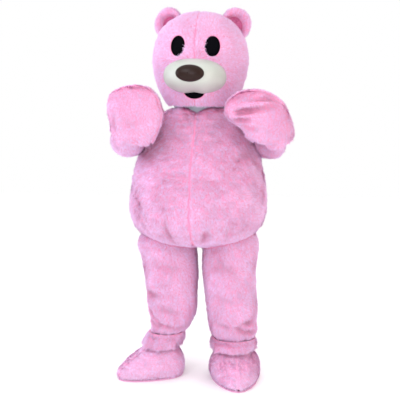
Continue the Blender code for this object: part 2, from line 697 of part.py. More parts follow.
def muzzle_grid():
    """Rings from the dome's widest part, on the face, to its tip."""
    turn = np.linspace(0.0, math.pi / 2, MUZZLE_ROWS)
    angle = np.arange(MUZZLE_COLUMNS) * 2 * math.pi / MUZZLE_COLUMNS
    grid = np.zeros((MUZZLE_ROWS, MUZZLE_COLUMNS, 3))
    power = 2.0 / MUZZLE_FULLNESS
    for row, value in enumerate(turn):
        size = max(math.cos(value) ** power, TINY / MUZZLE_HALF[2])
        x = MUZZLE_HALF[0] * size * signed_power(np.sin(angle), power)
        z = MUZZLE_HALF[2] * size * signed_power(np.cos(angle), power)
        notch = CHEEK_NOTCH * size * np.exp(-((x / CHEEK_NOTCH_WIDTH) ** 2))
        z = np.where(np.cos(angle) < 0, z + notch, z)
        y = np.full(MUZZLE_COLUMNS, -MUZZLE_HALF[1] * math.sin(value) ** power)
        grid[row] = np.stack([x, y, z], axis=1) + MUZZLE_CENTRE
    return grid


def build_muzzle(tilted, head):
    """A smooth moulded dome on the face, with an oval nose on it."""
    face = plug("face_stop", head.outer + outward(head.outer) * JOIN, tilted, cap_start=NOZZLE)
    grid = muzzle_grid()
    muzzle = tube("muzzle", cloth_of(grid, MUZZLE_WALL), CREAM, tilted, 0.45)
    cut(muzzle, face)
    dome = plug("muzzle_stop", grid + outward(grid) * JOIN, tilted)
    turn = np.linspace(0.06, math.pi - 0.06, 9)
    angle = np.arange(24) * 2 * math.pi / 24
    rings = [
        np.stack(
            [
                NOSE_HALF[0] * math.sin(t) * np.sin(angle),
                np.full(24, -NOSE_HALF[1] * math.cos(t)),
                NOSE_HALF[2] * math.sin(t) * np.cos(angle),
            ],
            axis=1,
        )
        + NOSE_CENTRE
        for t in turn
    ]
    nose = plug("nose", np.array(rings), tilted)
    nose.hide_render = False
    nose.display_type = "TEXTURED"
    nose.data.materials.append(finish(BROWN, 0.3))
    cut(nose, dome)


def ear_grid(profile, sign):
    """Rings round the ear's own axis, which looks forwards and a little out."""
    angle = np.arange(EAR_COLUMNS) * 2 * math.pi / EAR_COLUMNS
    turn = math.radians(EAR_OUT) * sign
    ahead = np.array([math.sin(turn), -math.cos(turn), 0.0])
    side = np.array([math.cos(turn), math.sin(turn), 0.0])
    up = np.array([0.0, 0.0, 1.0])
    centre = np.array(EAR_CENTRE) * [sign, 1, 1]
    inward = unit(np.array([-sign * 1.0, 0.0, -1.0]))
    rings = []
    for ring in profile:
        middle = centre - ahead * ring.depth + inward * ring.shift
        rings.append(
            middle
            + side * ring.radius * np.sin(angle)[:, None]
            + up * ring.radius * np.cos(angle)[:, None]
        )
    return np.array(rings)


def build_ears(tilted, head):
    face = plug("ear_stop", head.outer + outward(head.outer) * JOIN, tilted, cap_start=NOZZLE)
    for side, sign in (("left", 1), ("right", -1)):
        grid = ear_grid(EAR_BACK, sign)
        back = tube(f"ear_{side}_back", ear_wall(grid, EAR_WALL), PINK, tilted)
        cut(back, face)
        grid = ear_grid(EAR_FRONT, sign)
        front = tube(f"ear_{side}_front", ear_wall(grid, EAR_LINING, facing_in=True), DEEP_PINK, tilted)
        cut(front, face)


def ear_wall(grid, wall, facing_in=False):
    """The wall behind an ear's shown surface."""
    around = np.roll(grid, -1, axis=1) - np.roll(grid, 1, axis=1)
    along = np.gradient(grid, axis=0)
    normal = unit(np.cross(around, along))
    last = grid[-1].mean(axis=0)
    first = grid[0].mean(axis=0)
    wanted = unit(first - last) if facing_in else unit(last - first)
    if np.mean(normal[-2] @ wanted) < 0:
        normal = -normal
    return Cloth(grid, grid - normal * wall)


def main():
    for old in list(bpy.data.objects):
        bpy.data.objects.remove(old)
    costume = group("costume")
    costume.location = (0.0, 0.0, -SHOULDER_HEIGHT)
    torso = build_torso(costume)
    build_sleeves(costume, torso)
    build_legs(costume, torso)
    build_mittens(costume)
    build_boots(costume)
    build_neck_flap(costume)
    tilted = group("head", costume)
    tilted.location = HEAD_PLACE
    tilted.rotation_euler = (0.0, math.radians(HEAD_TILT), 0.0)
    head = build_head(tilted)
    build_muzzle(tilted, head)
    build_ears(tilted, head)


main()
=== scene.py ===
"""Looks of the bear mascot costume: plush panels with pile, a smooth muzzle, dark nets and a pale studio.

Every shape is worked out in the floor's frame, with the floor at height 0, and is then lowered by
SHOULDER_HEIGHT into the row's frame, whose origin is where the shoulders hold the costume.
"""

import itertools
import json
import logging
import math
from dataclasses import dataclass, field, replace
from enum import Enum
from typing import Any, Callable, Dict, List, Optional, Sequence, Tuple

import bpy
import numpy as np
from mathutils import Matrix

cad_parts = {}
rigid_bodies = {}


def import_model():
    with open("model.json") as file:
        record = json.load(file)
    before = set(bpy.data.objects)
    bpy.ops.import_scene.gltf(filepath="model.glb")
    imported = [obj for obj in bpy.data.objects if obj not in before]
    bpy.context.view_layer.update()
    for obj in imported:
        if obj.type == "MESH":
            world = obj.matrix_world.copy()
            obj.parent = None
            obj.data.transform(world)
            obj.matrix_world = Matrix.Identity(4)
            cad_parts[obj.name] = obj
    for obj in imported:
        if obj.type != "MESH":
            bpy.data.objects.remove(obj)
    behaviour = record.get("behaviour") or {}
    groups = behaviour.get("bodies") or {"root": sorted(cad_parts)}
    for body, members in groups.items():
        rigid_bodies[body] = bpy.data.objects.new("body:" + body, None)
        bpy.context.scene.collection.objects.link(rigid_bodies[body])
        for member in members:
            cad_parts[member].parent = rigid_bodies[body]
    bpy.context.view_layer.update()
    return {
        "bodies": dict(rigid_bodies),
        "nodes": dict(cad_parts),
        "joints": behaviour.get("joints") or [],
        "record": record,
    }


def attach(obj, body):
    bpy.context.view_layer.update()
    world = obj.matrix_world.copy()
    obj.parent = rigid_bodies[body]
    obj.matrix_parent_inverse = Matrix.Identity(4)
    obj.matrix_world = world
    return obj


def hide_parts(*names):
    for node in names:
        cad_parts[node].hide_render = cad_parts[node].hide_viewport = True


LOG = logging.getLogger("costume")

SHOULDER_HEIGHT = 1.36
TINY = 0.0018  # half size of the last ring, where a tube closes
PILE_DEPTH = 0.007  # from the pile's tips down to the backing
BACKING = 0.0014
CREASE_STRENGTH = 1.45  # pile softens a trough, so its backing goes deeper
FULL_FOLD_SHADE = 0.014  # at this depth a crease gets the full painted shade in its pile's colour
GATHER_REACH = 0.035  # how far up a leg its ankle's gathers run
CREASE_REACH = 0.03  # how far off the surface a crease may be given
GIRTH_SHARE = 0.8  # how much a change of girth counts beside the way along a tube
TUBE_REACH = 0.03  # how far off a ring's plane a point still belongs to that ring
BATCH = 40000  # points compared with the rings at once, so that memory stays small
TORSO_SEAM = (0.0050, 0.0055)  # each seam's depth and width
LIMB_SEAM = (0.0015, 0.0045)
PAW_SEAM = (0.0030, 0.0050)
BOOT_SEAM = (0.0030, 0.0050)
HEAD_SEAM = (0.0035, 0.0050)
BELLY_BARE = 0.0024  # how far the belly's middle seam is bare of pile to each side
SEAM_BARE = 0.0003
BOOT_BARE = 0.0004
HEAD_BARE = 0.0002
SEAM_PUSH = 1.2  # how strongly the pile is turned away from a seam
SEAM_REACH = 0.009
ROOT_DEPTH = 0.001  # how far a strand starts below its root
FLOOR_CLEARANCE = 0.001
TUFT_SHAPE = (1.45, 1.45, 0.75)
STRAND_SWIRL = 0.40  # how far, in radians, the pile's direction wanders
LIFT_SWELL = 6.0  # and its lift, in degrees
LIFT_SPREAD = 8.0
LIFT_LIMITS = (0.12, 1.25)  # in radians
LENGTH_SPREAD = 0.14
LENGTH_LIMITS = (0.5, 1.4)  # shares of the finish's own length
WIDTH_LIMITS = (0.7, 1.3)
STRAND_FACING = 0.35  # how much of a strand's own facing its shading takes on
SHADE_SPREAD = 0.10
FOLD_SHADE_TIP_LOSS = 0.85  # how much of the tip's colour the full painted shade of a fold takes away
# how much the painted shade of a full fold darkens a strand's tone; a ridge is painted lighter
FOLD_SHADE_TONE_LOSS = 1.5
SHARP_ANGLE = 55.0
MUZZLE_WALL = 0.004
NOSE_WALL = 0.002
FLAP_WALL = 0.0015
LINING_OUT = 0.004  # how far an ear's lining stands out of its cup
OVAL_POINTS = 48
OPENING_ROOM = 1.06  # pile starts a little outside an opening's edge
MUZZLE_ROOM = 0.93  # and a little inside the muzzle's edge
TORSO_ROOM = 0.93
EAR_ROOM = 0.88

Colour = Tuple[float, float, float]
Point = Tuple[float, float, float]
Comb = Callable[[np.ndarray], np.ndarray]
Keep = Callable[[np.ndarray], np.ndarray]


class Hold(Enum):
    """How a cloth piece is kept in its place."""

    HUNG = "hung"
    GATHERED = "gathered"
    STRETCHED = "stretched"


class Side(Enum):
    """The costume's own side, with the sign of its X."""

    LEFT = 1
    RIGHT = -1

    @property
    def word(self) -> str:
        """The side's name as the CAD nodes write it."""
        return self.name.lower()


@dataclass(frozen=True)
class Section:
    """One ring of a tube: its middle, and its reach to the side, forwards and back."""

    x: float
    y: float
    z: float
    half_width: float
    front: float
    back: float

    def row(self) -> List[float]:
        """The section's numbers in their order."""
        return [self.x, self.y, self.z, self.half_width, self.front, self.back]


@dataclass(frozen=True)
class Crease:
    """A soft trough from start to end. A negative depth is a ridge."""

    start: Point
    end: Point
    width: float
    depth: float


@dataclass(frozen=True)
class Opening:
    """An oval hole in the head's front."""

    x: float
    z: float
    half_width: float
    half_height: float


@dataclass(frozen=True)
class EarRing:
    """One ring of an ear about the ear's own axis."""

    radius: float
    depth: float
    shift: float


@dataclass(frozen=True)
class PileFinish:
    """A plush: the colours of its pile, and how the pile grows."""

    name: str
    slot: str
    root: Colour
    tip: Colour
    length: float = 0.0135
    width: float = 0.0023
    per_square_metre: float = 170000.0
    lift: float = 29.0
    clump: float = 0.013
    gather: float = 0.42
    unruly: float = 0.30


@dataclass(frozen=True)
class PlainFinish:
    """A surface with no pile."""

    name: str
    slot: str
    colour: Colour
    shade: Colour
    roughness: float
    grain: float
    grain_size: float
    sheen: float = 0.0
    coat: float = 0.0
    shine: float = 0.5


# Each strand darkens from tip to root: partly the plush's own colour, partly painted warm shade deep in
# the pile.
PINK_PLUSH = PileFinish("pink_plush", "plush", (0.82, 0.29, 0.49), (0.84, 0.63, 0.90))
HEAD_PLUSH = replace(PINK_PLUSH, name="head_plush", length=0.0120, clump=0.010, unruly=0.36)
PAW_PLUSH = replace(PINK_PLUSH, length=0.0112, lift=25.0, unruly=0.22, gather=0.35)
# A lighter copy of the pink plush, which paints onto the boots the light that falls on their upturned
# tops.
LIT_BOOT_PLUSH = replace(
    PINK_PLUSH,
    name="lit_boot_plush",
    root=(0.86, 0.40, 0.62),
    tip=(0.92, 0.72, 0.98),
    length=0.0120,
    unruly=0.36,
)
HEM_PLUSH = replace(PINK_PLUSH, length=0.0155, lift=36.0, unruly=0.50)
DEEP_PLUSH = PileFinish(
    "deep_plush",
    "deep_plush",
    (0.72, 0.15, 0.34),
    (0.90, 0.30, 0.55),
    length=0.008,
    width=0.0018,
    lift=34.0,
)
SOLE_FELT = PlainFinish(
    "sole_felt", "sole", (0.76, 0.40, 0.60), (0.66, 0.30, 0.48), 0.95, 0.5, 700.0, shine=0.1
)
LINING = PlainFinish(
    "pale_lining", "lining", (0.54, 0.62, 0.64), (0.42, 0.50, 0.54), 0.9, 0.4, 900.0, sheen=0.2
)
MUZZLE_SHELL = PlainFinish(
    "muzzle_shell", "muzzle", (0.52, 0.56, 0.50), (0.46, 0.50, 0.45), 0.42, 0.05, 260.0, coat=0.08
)
NOSE_SHELL = PlainFinish(
    "nose_shell", "nose", (0.022, 0.007, 0.004), (0.012, 0.004, 0.002), 0.38, 0.05, 300.0, shine=0.22
)
BLACK_NET = PlainFinish(
    "black_net", "net", (0.003, 0.003, 0.005), (0.001, 0.001, 0.002), 0.9, 0.6, 1200.0, shine=0.05
)

TORSO = (
    Section(0, 0.000, 1.384, 0.132, 0.122, 0.116),
    Section(0, 0.000, 1.377, 0.160, 0.142, 0.134),
    Section(0, 0.000, 1.357, 0.203, 0.164, 0.150),
    Section(0, 0.000, 1.310, 0.246, 0.190, 0.170),
    Section(0, 0.000, 1.225, 0.286, 0.228, 0.195),
    Section(-0.005, -0.005, 1.120, 0.320, 0.272, 0.218),
    Section(-0.007, -0.010, 1.010, 0.343, 0.308, 0.240),
    Section(-0.008, -0.010, 0.920, 0.352, 0.322, 0.254),
    Section(-0.009, -0.010, 0.840, 0.346, 0.314, 0.252),
    Section(-0.010, -0.005, 0.775, 0.318, 0.280, 0.234),
    Section(-0.008, 0.000, 0.728, 0.260, 0.224, 0.196),
    Section(-0.004, 0.000, 0.697, 0.172, 0.150, 0.135),
    Section(0, 0.000, 0.683, 0.080, 0.072, 0.066),
    Section(0, 0.000, 0.680, TINY, TINY, TINY),
)
NECK_DIP = 0.022
NECK_DIP_WIDTH = 0.040
COLLAR_RISE = 0.007
LEG_LEFT = (
    Section(0.135, 0.000, 0.840, 0.070, 0.070, 0.070),
    Section(0.148, 0.000, 0.770, 0.128, 0.118, 0.122),
    Section(0.158, 0.000, 0.700, 0.146, 0.134, 0.138),
    Section(0.154, -0.002, 0.620, 0.144, 0.134, 0.136),
    Section(0.153, -0.005, 0.536, 0.140, 0.130, 0.132),
    Section(0.159, -0.008, 0.450, 0.136, 0.126, 0.126),
    Section(0.167, -0.008, 0.364, 0.135, 0.122, 0.122),
    Section(0.172, -0.004, 0.290, 0.132, 0.116, 0.118),
    Section(0.175, 0.000, 0.240, 0.127, 0.112, 0.112),
    Section(0.177, 0.000, 0.211, 0.112, 0.098, 0.098),
)
LEG_RIGHT = (
    Section(-0.140, 0.000, 0.840, 0.070, 0.070, 0.070),
    Section(-0.158, 0.000, 0.770, 0.130, 0.118, 0.122),
    Section(-0.170, 0.000, 0.700, 0.156, 0.136, 0.140),
    Section(-0.158, -0.002, 0.620, 0.149, 0.134, 0.136),
    Section(-0.149, -0.006, 0.536, 0.143, 0.130, 0.132),
    Section(-0.144, -0.012, 0.450, 0.137, 0.126, 0.126),
    Section(-0.143, -0.014, 0.364, 0.132, 0.120, 0.120),
    Section(-0.149, -0.008, 0.300, 0.119, 0.110, 0.112),
    Section(-0.160, 0.000, 0.255, 0.106, 0.102, 0.104),
    Section(-0.172, 0.004, 0.229, 0.094, 0.092, 0.094),
)
CUFF_LEFT = (
    Section(0.177, 0.000, 0.2105, 0.114, 0.100, 0.100),
    Section(0.176, -0.006, 0.186, 0.121, 0.116, 0.112),
    Section(0.175, -0.010, 0.158, 0.118, 0.122, 0.112),
)
CUFF_RIGHT = (
    Section(-0.173, 0.004, 0.2285, 0.096, 0.094, 0.096),
    Section(-0.186, 0.000, 0.198, 0.106, 0.108, 0.106),
    Section(-0.200, -0.004, 0.160, 0.106, 0.116, 0.112),
)
BOOT = (
    Section(0, 0.000, 0.204, 0.078, 0.076, 0.074),
    Section(0, 0.000, 0.184, 0.080, 0.080, 0.076),
    Section(0, 0.000, 0.162, 0.086, 0.090, 0.080),
    Section(0, 0.000, 0.140, 0.100, 0.118, 0.090),
    Section(0, 0.000, 0.108, 0.122, 0.176, 0.106),
    Section(0, 0.000, 0.078, 0.133, 0.224, 0.114),
    Section(0, 0.000, 0.045, 0.137, 0.256, 0.118),
    Section(0, 0.000, 0.020, 0.133, 0.262, 0.116),
    Section(0, 0.000, 0.0073, 0.126, 0.252, 0.110),
)
BOOT_POINT = 1.75
SLEEVE_RIGHT = (
    Section(-0.130, 0.022, 1.268, 0.060, 0.055, 0.055),
    Section(-0.200, 0.020, 1.272, 0.092, 0.088, 0.088),
    Section(-0.270, 0.005, 1.262, 0.098, 0.094, 0.090),
    Section(-0.322, -0.045, 1.240, 0.096, 0.092, 0.084),
    Section(-0.340, -0.120, 1.226, 0.090, 0.086, 0.078),
    Section(-0.324, -0.190, 1.226, 0.086, 0.078, 0.0785),
    Section(-0.300, -0.240, 1.250, 0.080, 0.058, 0.065),
    Section(-0.286, -0.264, 1.290, 0.076, 0.048, 0.055),
)
SLEEVE_LEFT = (
    Section(0.130, 0.036, 1.290, 0.060, 0.055, 0.055),
    Section(0.200, 0.036, 1.282, 0.092, 0.088, 0.088),
    Section(0.266, 0.032, 1.256, 0.094, 0.090, 0.088),
    Section(0.318, 0.012, 1.222, 0.088, 0.082, 0.082),
    Section(0.353, -0.022, 1.197, 0.076, 0.072, 0.070),
    Section(0.383, -0.068, 1.190, 0.054, 0.052, 0.0531),
    Section(0.397, -0.108, 1.208, 0.046, 0.044, 0.0461),
    Section(0.396, -0.142, 1.240, 0.042, 0.040, 0.040),
)
MITTEN_RIGHT = (
    Section(-0.288, -0.256, 1.250, 0.116, 0.078, 0.094),
    Section(-0.276, -0.280, 1.290, 0.126, 0.080, 0.096),
    Section(-0.266, -0.300, 1.340, 0.139, 0.076, 0.092),
    Section(-0.257, -0.314, 1.395, 0.136, 0.068, 0.084),
    Section(-0.245, -0.322, 1.440, 0.110, 0.056, 0.070),
    Section(-0.239, -0.326, 1.470, 0.070, 0.040, 0.048),
    Section(-0.237, -0.328, 1.484, 0.032, 0.020, 0.024),
    Section(-0.236, -0.328, 1.488, TINY, TINY, TINY),
)
MITTEN_LEFT = (
    Section(0.404, -0.132, 1.226, 0.080, 0.080, 0.070),
    Section(0.385, -0.157, 1.268, 0.097, 0.088, 0.080),
    Section(0.350, -0.188, 1.309, 0.120, 0.092, 0.086),
    Section(0.300, -0.222, 1.352, 0.118, 0.088, 0.082),
    Section(0.245, -0.243, 1.368, 0.101, 0.078, 0.072),
    Section(0.195, -0.254, 1.366, 0.074, 0.060, 0.055),
    Section(0.160, -0.260, 1.362, 0.042, 0.036, 0.032),
    Section(0.144, -0.262, 1.360, TINY, TINY, TINY),
)
NECK_FLAP = (
    Section(-0.002, 0.000, 1.407, 0.1516, 0.1590, 0.1445),
    Section(-0.002, 0.000, 1.389, 0.1280, 0.1200, 0.1130),
    Section(0.000, 0.000, 1.372, 0.1255, 0.1155, 0.1095),
    Section(0.000, 0.000, 1.346, 0.1300, 0.1200, 0.1120),
)
HEAD = (
    Section(0, 0, 0.000, 0.158, 0.166, 0.150),
    Section(0, 0, 0.018, 0.172, 0.180, 0.163),
    Section(0, 0, 0.045, 0.190, 0.195, 0.180),
    Section(0, 0, 0.080, 0.211, 0.208, 0.196),
    Section(0, 0, 0.130, 0.226, 0.218, 0.208),
    Section(0, 0, 0.180, 0.237, 0.224, 0.215),
    Section(0, 0, 0.235, 0.2415, 0.226, 0.218),
    Section(0, 0, 0.300, 0.234, 0.220, 0.213),
    Section(0, 0, 0.350, 0.215, 0.203, 0.199),
    Section(0, 0, 0.398, 0.179, 0.171, 0.168),
    Section(0, 0, 0.435, 0.130, 0.126, 0.124),
    Section(0, 0, 0.457, 0.078, 0.076, 0.075),
    Section(0, 0, 0.467, 0.034, 0.034, 0.034),
    Section(0, 0, 0.470, TINY, TINY, TINY),
)
HEAD_PLACE = (-0.003, 0.0, 1.391)
HEAD_TILT = 1.5
CHIN_DIP = 0.004
EYE = Opening(0.082, 0.277, 0.036, 0.049)
MOUTH = Opening(0.000, 0.066, 0.050, 0.034)
MUZZLE_CENTRE = (0.0, -0.158, 0.137)
MUZZLE_HALF = (0.149, 0.196, 0.083)
MUZZLE_FULLNESS = 2.3
CHEEK_NOTCH = 0.008
CHEEK_NOTCH_WIDTH = 0.030
NOSE_CENTRE = (0.0, -0.340, 0.141)
NOSE_HALF = (0.066, 0.030, 0.039)
EAR_CENTRE = (0.169, 0.018, 0.409)
EAR_OUT = 24.0
EAR_BACK = (
    EarRing(0.038, -0.006, 0.012),
    EarRing(0.050, -0.021, 0.009),
    EarRing(0.064, -0.026, 0.004),
    EarRing(0.077, -0.016, 0.000),
    EarRing(0.081, 0.002, 0.000),
    EarRing(0.073, 0.022, 0.000),
    EarRing(0.050, 0.036, 0.000),
    EarRing(0.024, 0.042, 0.000),
    EarRing(TINY, 0.044, 0.000),
)
EAR_FRONT = (
    EarRing(0.0385, -0.0035, 0.012),
    EarRing(0.030, 0.008, 0.012),
    EarRing(0.016, 0.016, 0.012),
    EarRing(TINY, 0.018, 0.012),
)

TORSO_CREASES = (
    Crease((-0.300, -0.120, 1.190), (-0.200, -0.210, 1.150), 0.022, 0.004),
    Crease((0.300, -0.120, 1.180), (0.205, -0.210, 1.140), 0.022, 0.004),
    Crease((-0.128, -0.300, 0.835), (-0.100, -0.190, 0.720), 0.012, 0.010),
    Crease((0.070, -0.290, 0.800), (0.040, -0.225, 0.735), 0.012, 0.010),
    Crease((0.190, -0.250, 0.815), (0.150, -0.190, 0.755), 0.016, 0.006),
    Crease((-0.140, 0.225, 0.800), (-0.100, 0.150, 0.720), 0.016, 0.008),
    Crease((0.140, 0.225, 0.800), (0.100, 0.150, 0.720), 0.016, 0.008),
    Crease((-0.100, -0.215, 1.262), (0.020, -0.225, 1.238), 0.018, 0.002),
    Crease((0.040, -0.220, 1.215), (0.160, -0.205, 1.240), 0.018, 0.002),
    Crease((-0.160, -0.270, 1.085), (-0.010, -0.300, 1.060), 0.020, 0.002),
    Crease((0.010, -0.310, 1.030), (0.150, -0.290, 1.050), 0.020, 0.002),
    Crease((-0.200, -0.290, 0.965), (-0.060, -0.330, 0.945), 0.018, 0.002),
    Crease((0.060, -0.330, 0.900), (0.210, -0.280, 0.925), 0.018, 0.002),
    Crease((-0.060, 0.190, 1.220), (0.080, 0.190, 1.205), 0.020, 0.004),
    Crease((-0.090, 0.235, 1.020), (0.060, 0.240, 1.035), 0.022, 0.004),
)
LEG_LEFT_CREASES = (
    Crease((0.196, -0.117, 0.290), (0.242, -0.092, 0.265), 0.011, 0.011),
    Crease((0.242, -0.092, 0.264), (0.290, -0.045, 0.252), 0.011, 0.010),
    Crease((0.228, -0.108, 0.305), (0.290, -0.060, 0.320), 0.012, 0.009),
    Crease((0.235, -0.104, 0.284), (0.285, -0.060, 0.288), 0.010, -0.004),
    Crease((0.060, 0.090, 0.300), (0.200, 0.130, 0.270), 0.016, 0.007),
    Crease((0.100, 0.120, 0.500), (0.240, 0.110, 0.470), 0.020, 0.006),
    Crease((0.070, -0.120, 0.300), (0.150, -0.140, 0.285), 0.012, 0.005),
    Crease((0.080, -0.110, 0.610), (0.190, -0.130, 0.585), 0.022, 0.005),
    Crease((0.090, -0.120, 0.440), (0.200, -0.130, 0.425), 0.020, 0.004),
    Crease((0.250, -0.060, 0.300), (0.270, 0.040, 0.280), 0.014, 0.005),
)
LEG_RIGHT_CREASES = (
    Crease((-0.262, -0.055, 0.372), (-0.184, -0.103, 0.285), 0.012, 0.012),
    Crease((-0.268, -0.030, 0.318), (-0.201, -0.093, 0.276), 0.010, 0.010),
    Crease((-0.184, -0.103, 0.284), (-0.120, -0.100, 0.272), 0.012, 0.008),
    Crease((-0.245, -0.080, 0.332), (-0.190, -0.108, 0.302), 0.010, -0.004),
    Crease((-0.262, -0.050, 0.455), (-0.225, -0.100, 0.440), 0.014, 0.007),
    Crease((-0.230, 0.110, 0.300), (-0.110, 0.100, 0.280), 0.016, 0.007),
    Crease((-0.230, 0.120, 0.480), (-0.100, 0.130, 0.500), 0.020, 0.006),
    Crease((-0.270, -0.030, 0.440), (-0.190, -0.110, 0.455), 0.016, 0.006),
    Crease((-0.200, -0.130, 0.380), (-0.090, -0.135, 0.350), 0.018, 0.005),
    Crease((-0.210, -0.120, 0.600), (-0.090, -0.130, 0.580), 0.022, 0.005),
    Crease((-0.100, -0.100, 0.260), (-0.080, -0.040, 0.290), 0.014, 0.006),
)
SLEEVE_LEFT_CREASES = (
    Crease((0.300, -0.090, 1.300), (0.260, 0.020, 1.340), 0.020, 0.009),
    Crease((0.330, -0.040, 1.140), (0.400, 0.000, 1.170), 0.018, 0.006),
    Crease((0.350, 0.060, 1.200), (0.300, 0.060, 1.290), 0.018, 0.005),
)
SLEEVE_RIGHT_CREASES = (
    Crease((-0.300, -0.110, 1.310), (-0.260, 0.010, 1.350), 0.020, 0.009),
    Crease((-0.330, -0.060, 1.150), (-0.400, -0.030, 1.180), 0.018, 0.006),
    Crease((-0.400, -0.070, 1.260), (-0.340, 0.040, 1.290), 0.018, 0.005),
)
MITTEN_LEFT_CREASES = (
    Crease((0.206, -0.306, 1.358), (0.304, -0.308, 1.373), 0.0095, 0.017),
    Crease((0.304, -0.308, 1.373), (0.385, -0.268, 1.392), 0.012, 0.009),
    Crease((0.225, -0.305, 1.385), (0.345, -0.290, 1.404), 0.012, -0.006),
    Crease((0.300, -0.296, 1.420), (0.395, -0.243, 1.416), 0.010, 0.011),
    Crease((0.195, -0.293, 1.318), (0.262, -0.308, 1.322), 0.010, 0.011),
    Crease((0.200, -0.300, 1.338), (0.285, -0.310, 1.346), 0.011, -0.004),
    Crease((0.240, -0.290, 1.288), (0.300, -0.285, 1.276), 0.012, 0.007),
    Crease((0.390, -0.090, 1.330), (0.400, -0.110, 1.400), 0.018, 0.006),
)
MITTEN_RIGHT_CREASES = (
    Crease((-0.360, -0.330, 1.280), (-0.350, -0.350, 1.360), 0.014, 0.005),
    Crease((-0.300, -0.210, 1.330), (-0.200, -0.220, 1.350), 0.020, 0.007),
    Crease((-0.290, -0.375, 1.300), (-0.210, -0.370, 1.315), 0.018, 0.003),
)


def unit(vectors: np.ndarray) -> np.ndarray:
    """Each vector at length 1."""
    length = np.linalg.norm(vectors, axis=-1, keepdims=True)
    return vectors / np.maximum(length, 1e-12)


def swirl(points: np.ndarray, size: float, seed: int) -> np.ndarray:
    """Smooth noise of about -1 to 1.

    Args:
        points: places in metres.
        size: the width of one swell, in metres.
        seed: which of the many patterns.

    Returns:
        One value for each point.
    """
    rng = np.random.default_rng(seed)
    waves = unit(rng.normal(size=(9, 3))) * rng.uniform(0.6, 1.4, (9, 1)) * math.pi / size
    phase = rng.uniform(0, 2 * math.pi, 9)
    return np.sin(points @ waves.T + phase).sum(axis=-1) / 3.0


def tufts(points: np.ndarray, size: np.ndarray) -> Tuple[np.ndarray, np.ndarray]:
    """The tuft that each root belongs to.

    Args:
        points: the roots.
        size: how wide a tuft is along each axis.

    Returns:
        The way from each root to its tuft's middle, and the tuft's tone from 0 to 1.
    """
    mixer = np.array([[12.9898, 78.233, 37.719], [39.346, 11.135, 83.155], [73.156, 52.235, 9.151]])
    cell = np.floor(points / size)
    nearest = np.full(len(points), np.inf)
    way = np.zeros_like(points)
    tone = np.zeros(len(points))
    for step in itertools.product((-1, 0, 1), repeat=3):
        near = cell + step
        code = (np.sin(near @ mixer.T) * 43758.5453) % 1.0
        gap = (near + code) * size - points
        distance = np.sum((gap / size) ** 2, axis=1)
        closer = distance < nearest
        nearest[closer] = distance[closer]
        way[closer] = gap[closer]
        tone[closer] = code[closer, 0]
    return way, tone


def ring_angles(count: int) -> np.ndarray:
    """Evenly spaced angles round a ring."""
    return np.arange(count) * 2 * math.pi / count


def smooth_through(knots: np.ndarray, shape: np.ndarray, count: int) -> np.ndarray:
    """Numbers at evenly spaced places of a smooth curve through knots.

    Args:
        knots: one row of numbers for each knot.
        shape: rows whose distances say how far apart the knots lie.
        count: how many places.

    Returns:
        One row of numbers for each place.
    """
    steps = np.linalg.norm(np.diff(shape, axis=0), axis=1)
    place = np.concatenate([[0.0], np.cumsum(steps)])
    slope = np.gradient(knots, place, axis=0)
    wanted = np.linspace(0.0, place[-1], count)
    index = np.clip(np.searchsorted(place, wanted, side="right") - 1, 0, len(place) - 2)
    span = (place[index + 1] - place[index])[:, None]
    t = (wanted - place[index])[:, None] / span
    return (
        knots[index] * (2 * t**3 - 3 * t**2 + 1)
        + slope[index] * span * (t**3 - 2 * t**2 + t)
        + knots[index + 1] * (3 * t**2 - 2 * t**3)
        + slope[index + 1] * span * (t**3 - t**2)
    )


def smooth_rows(table: Sequence[Section], count: int) -> np.ndarray:
    """A table's numbers at evenly spaced places of a smooth curve through its rows.

    Args:
        table: the sections, in order along the tube.
        count: how many places.

    Returns:
        One row of six numbers for each place, in the sections' own order.
    """
    knots = np.array([section.row() for section in table], float)
    shape = knots.copy()
    shape[:, 3:] *= GIRTH_SHARE
    return smooth_through(knots, shape, count)


def signed_power(value: np.ndarray, power: np.ndarray) -> np.ndarray:
    """The power of the value's size, with the value's sign."""
    return np.sign(value) * np.abs(value) ** power


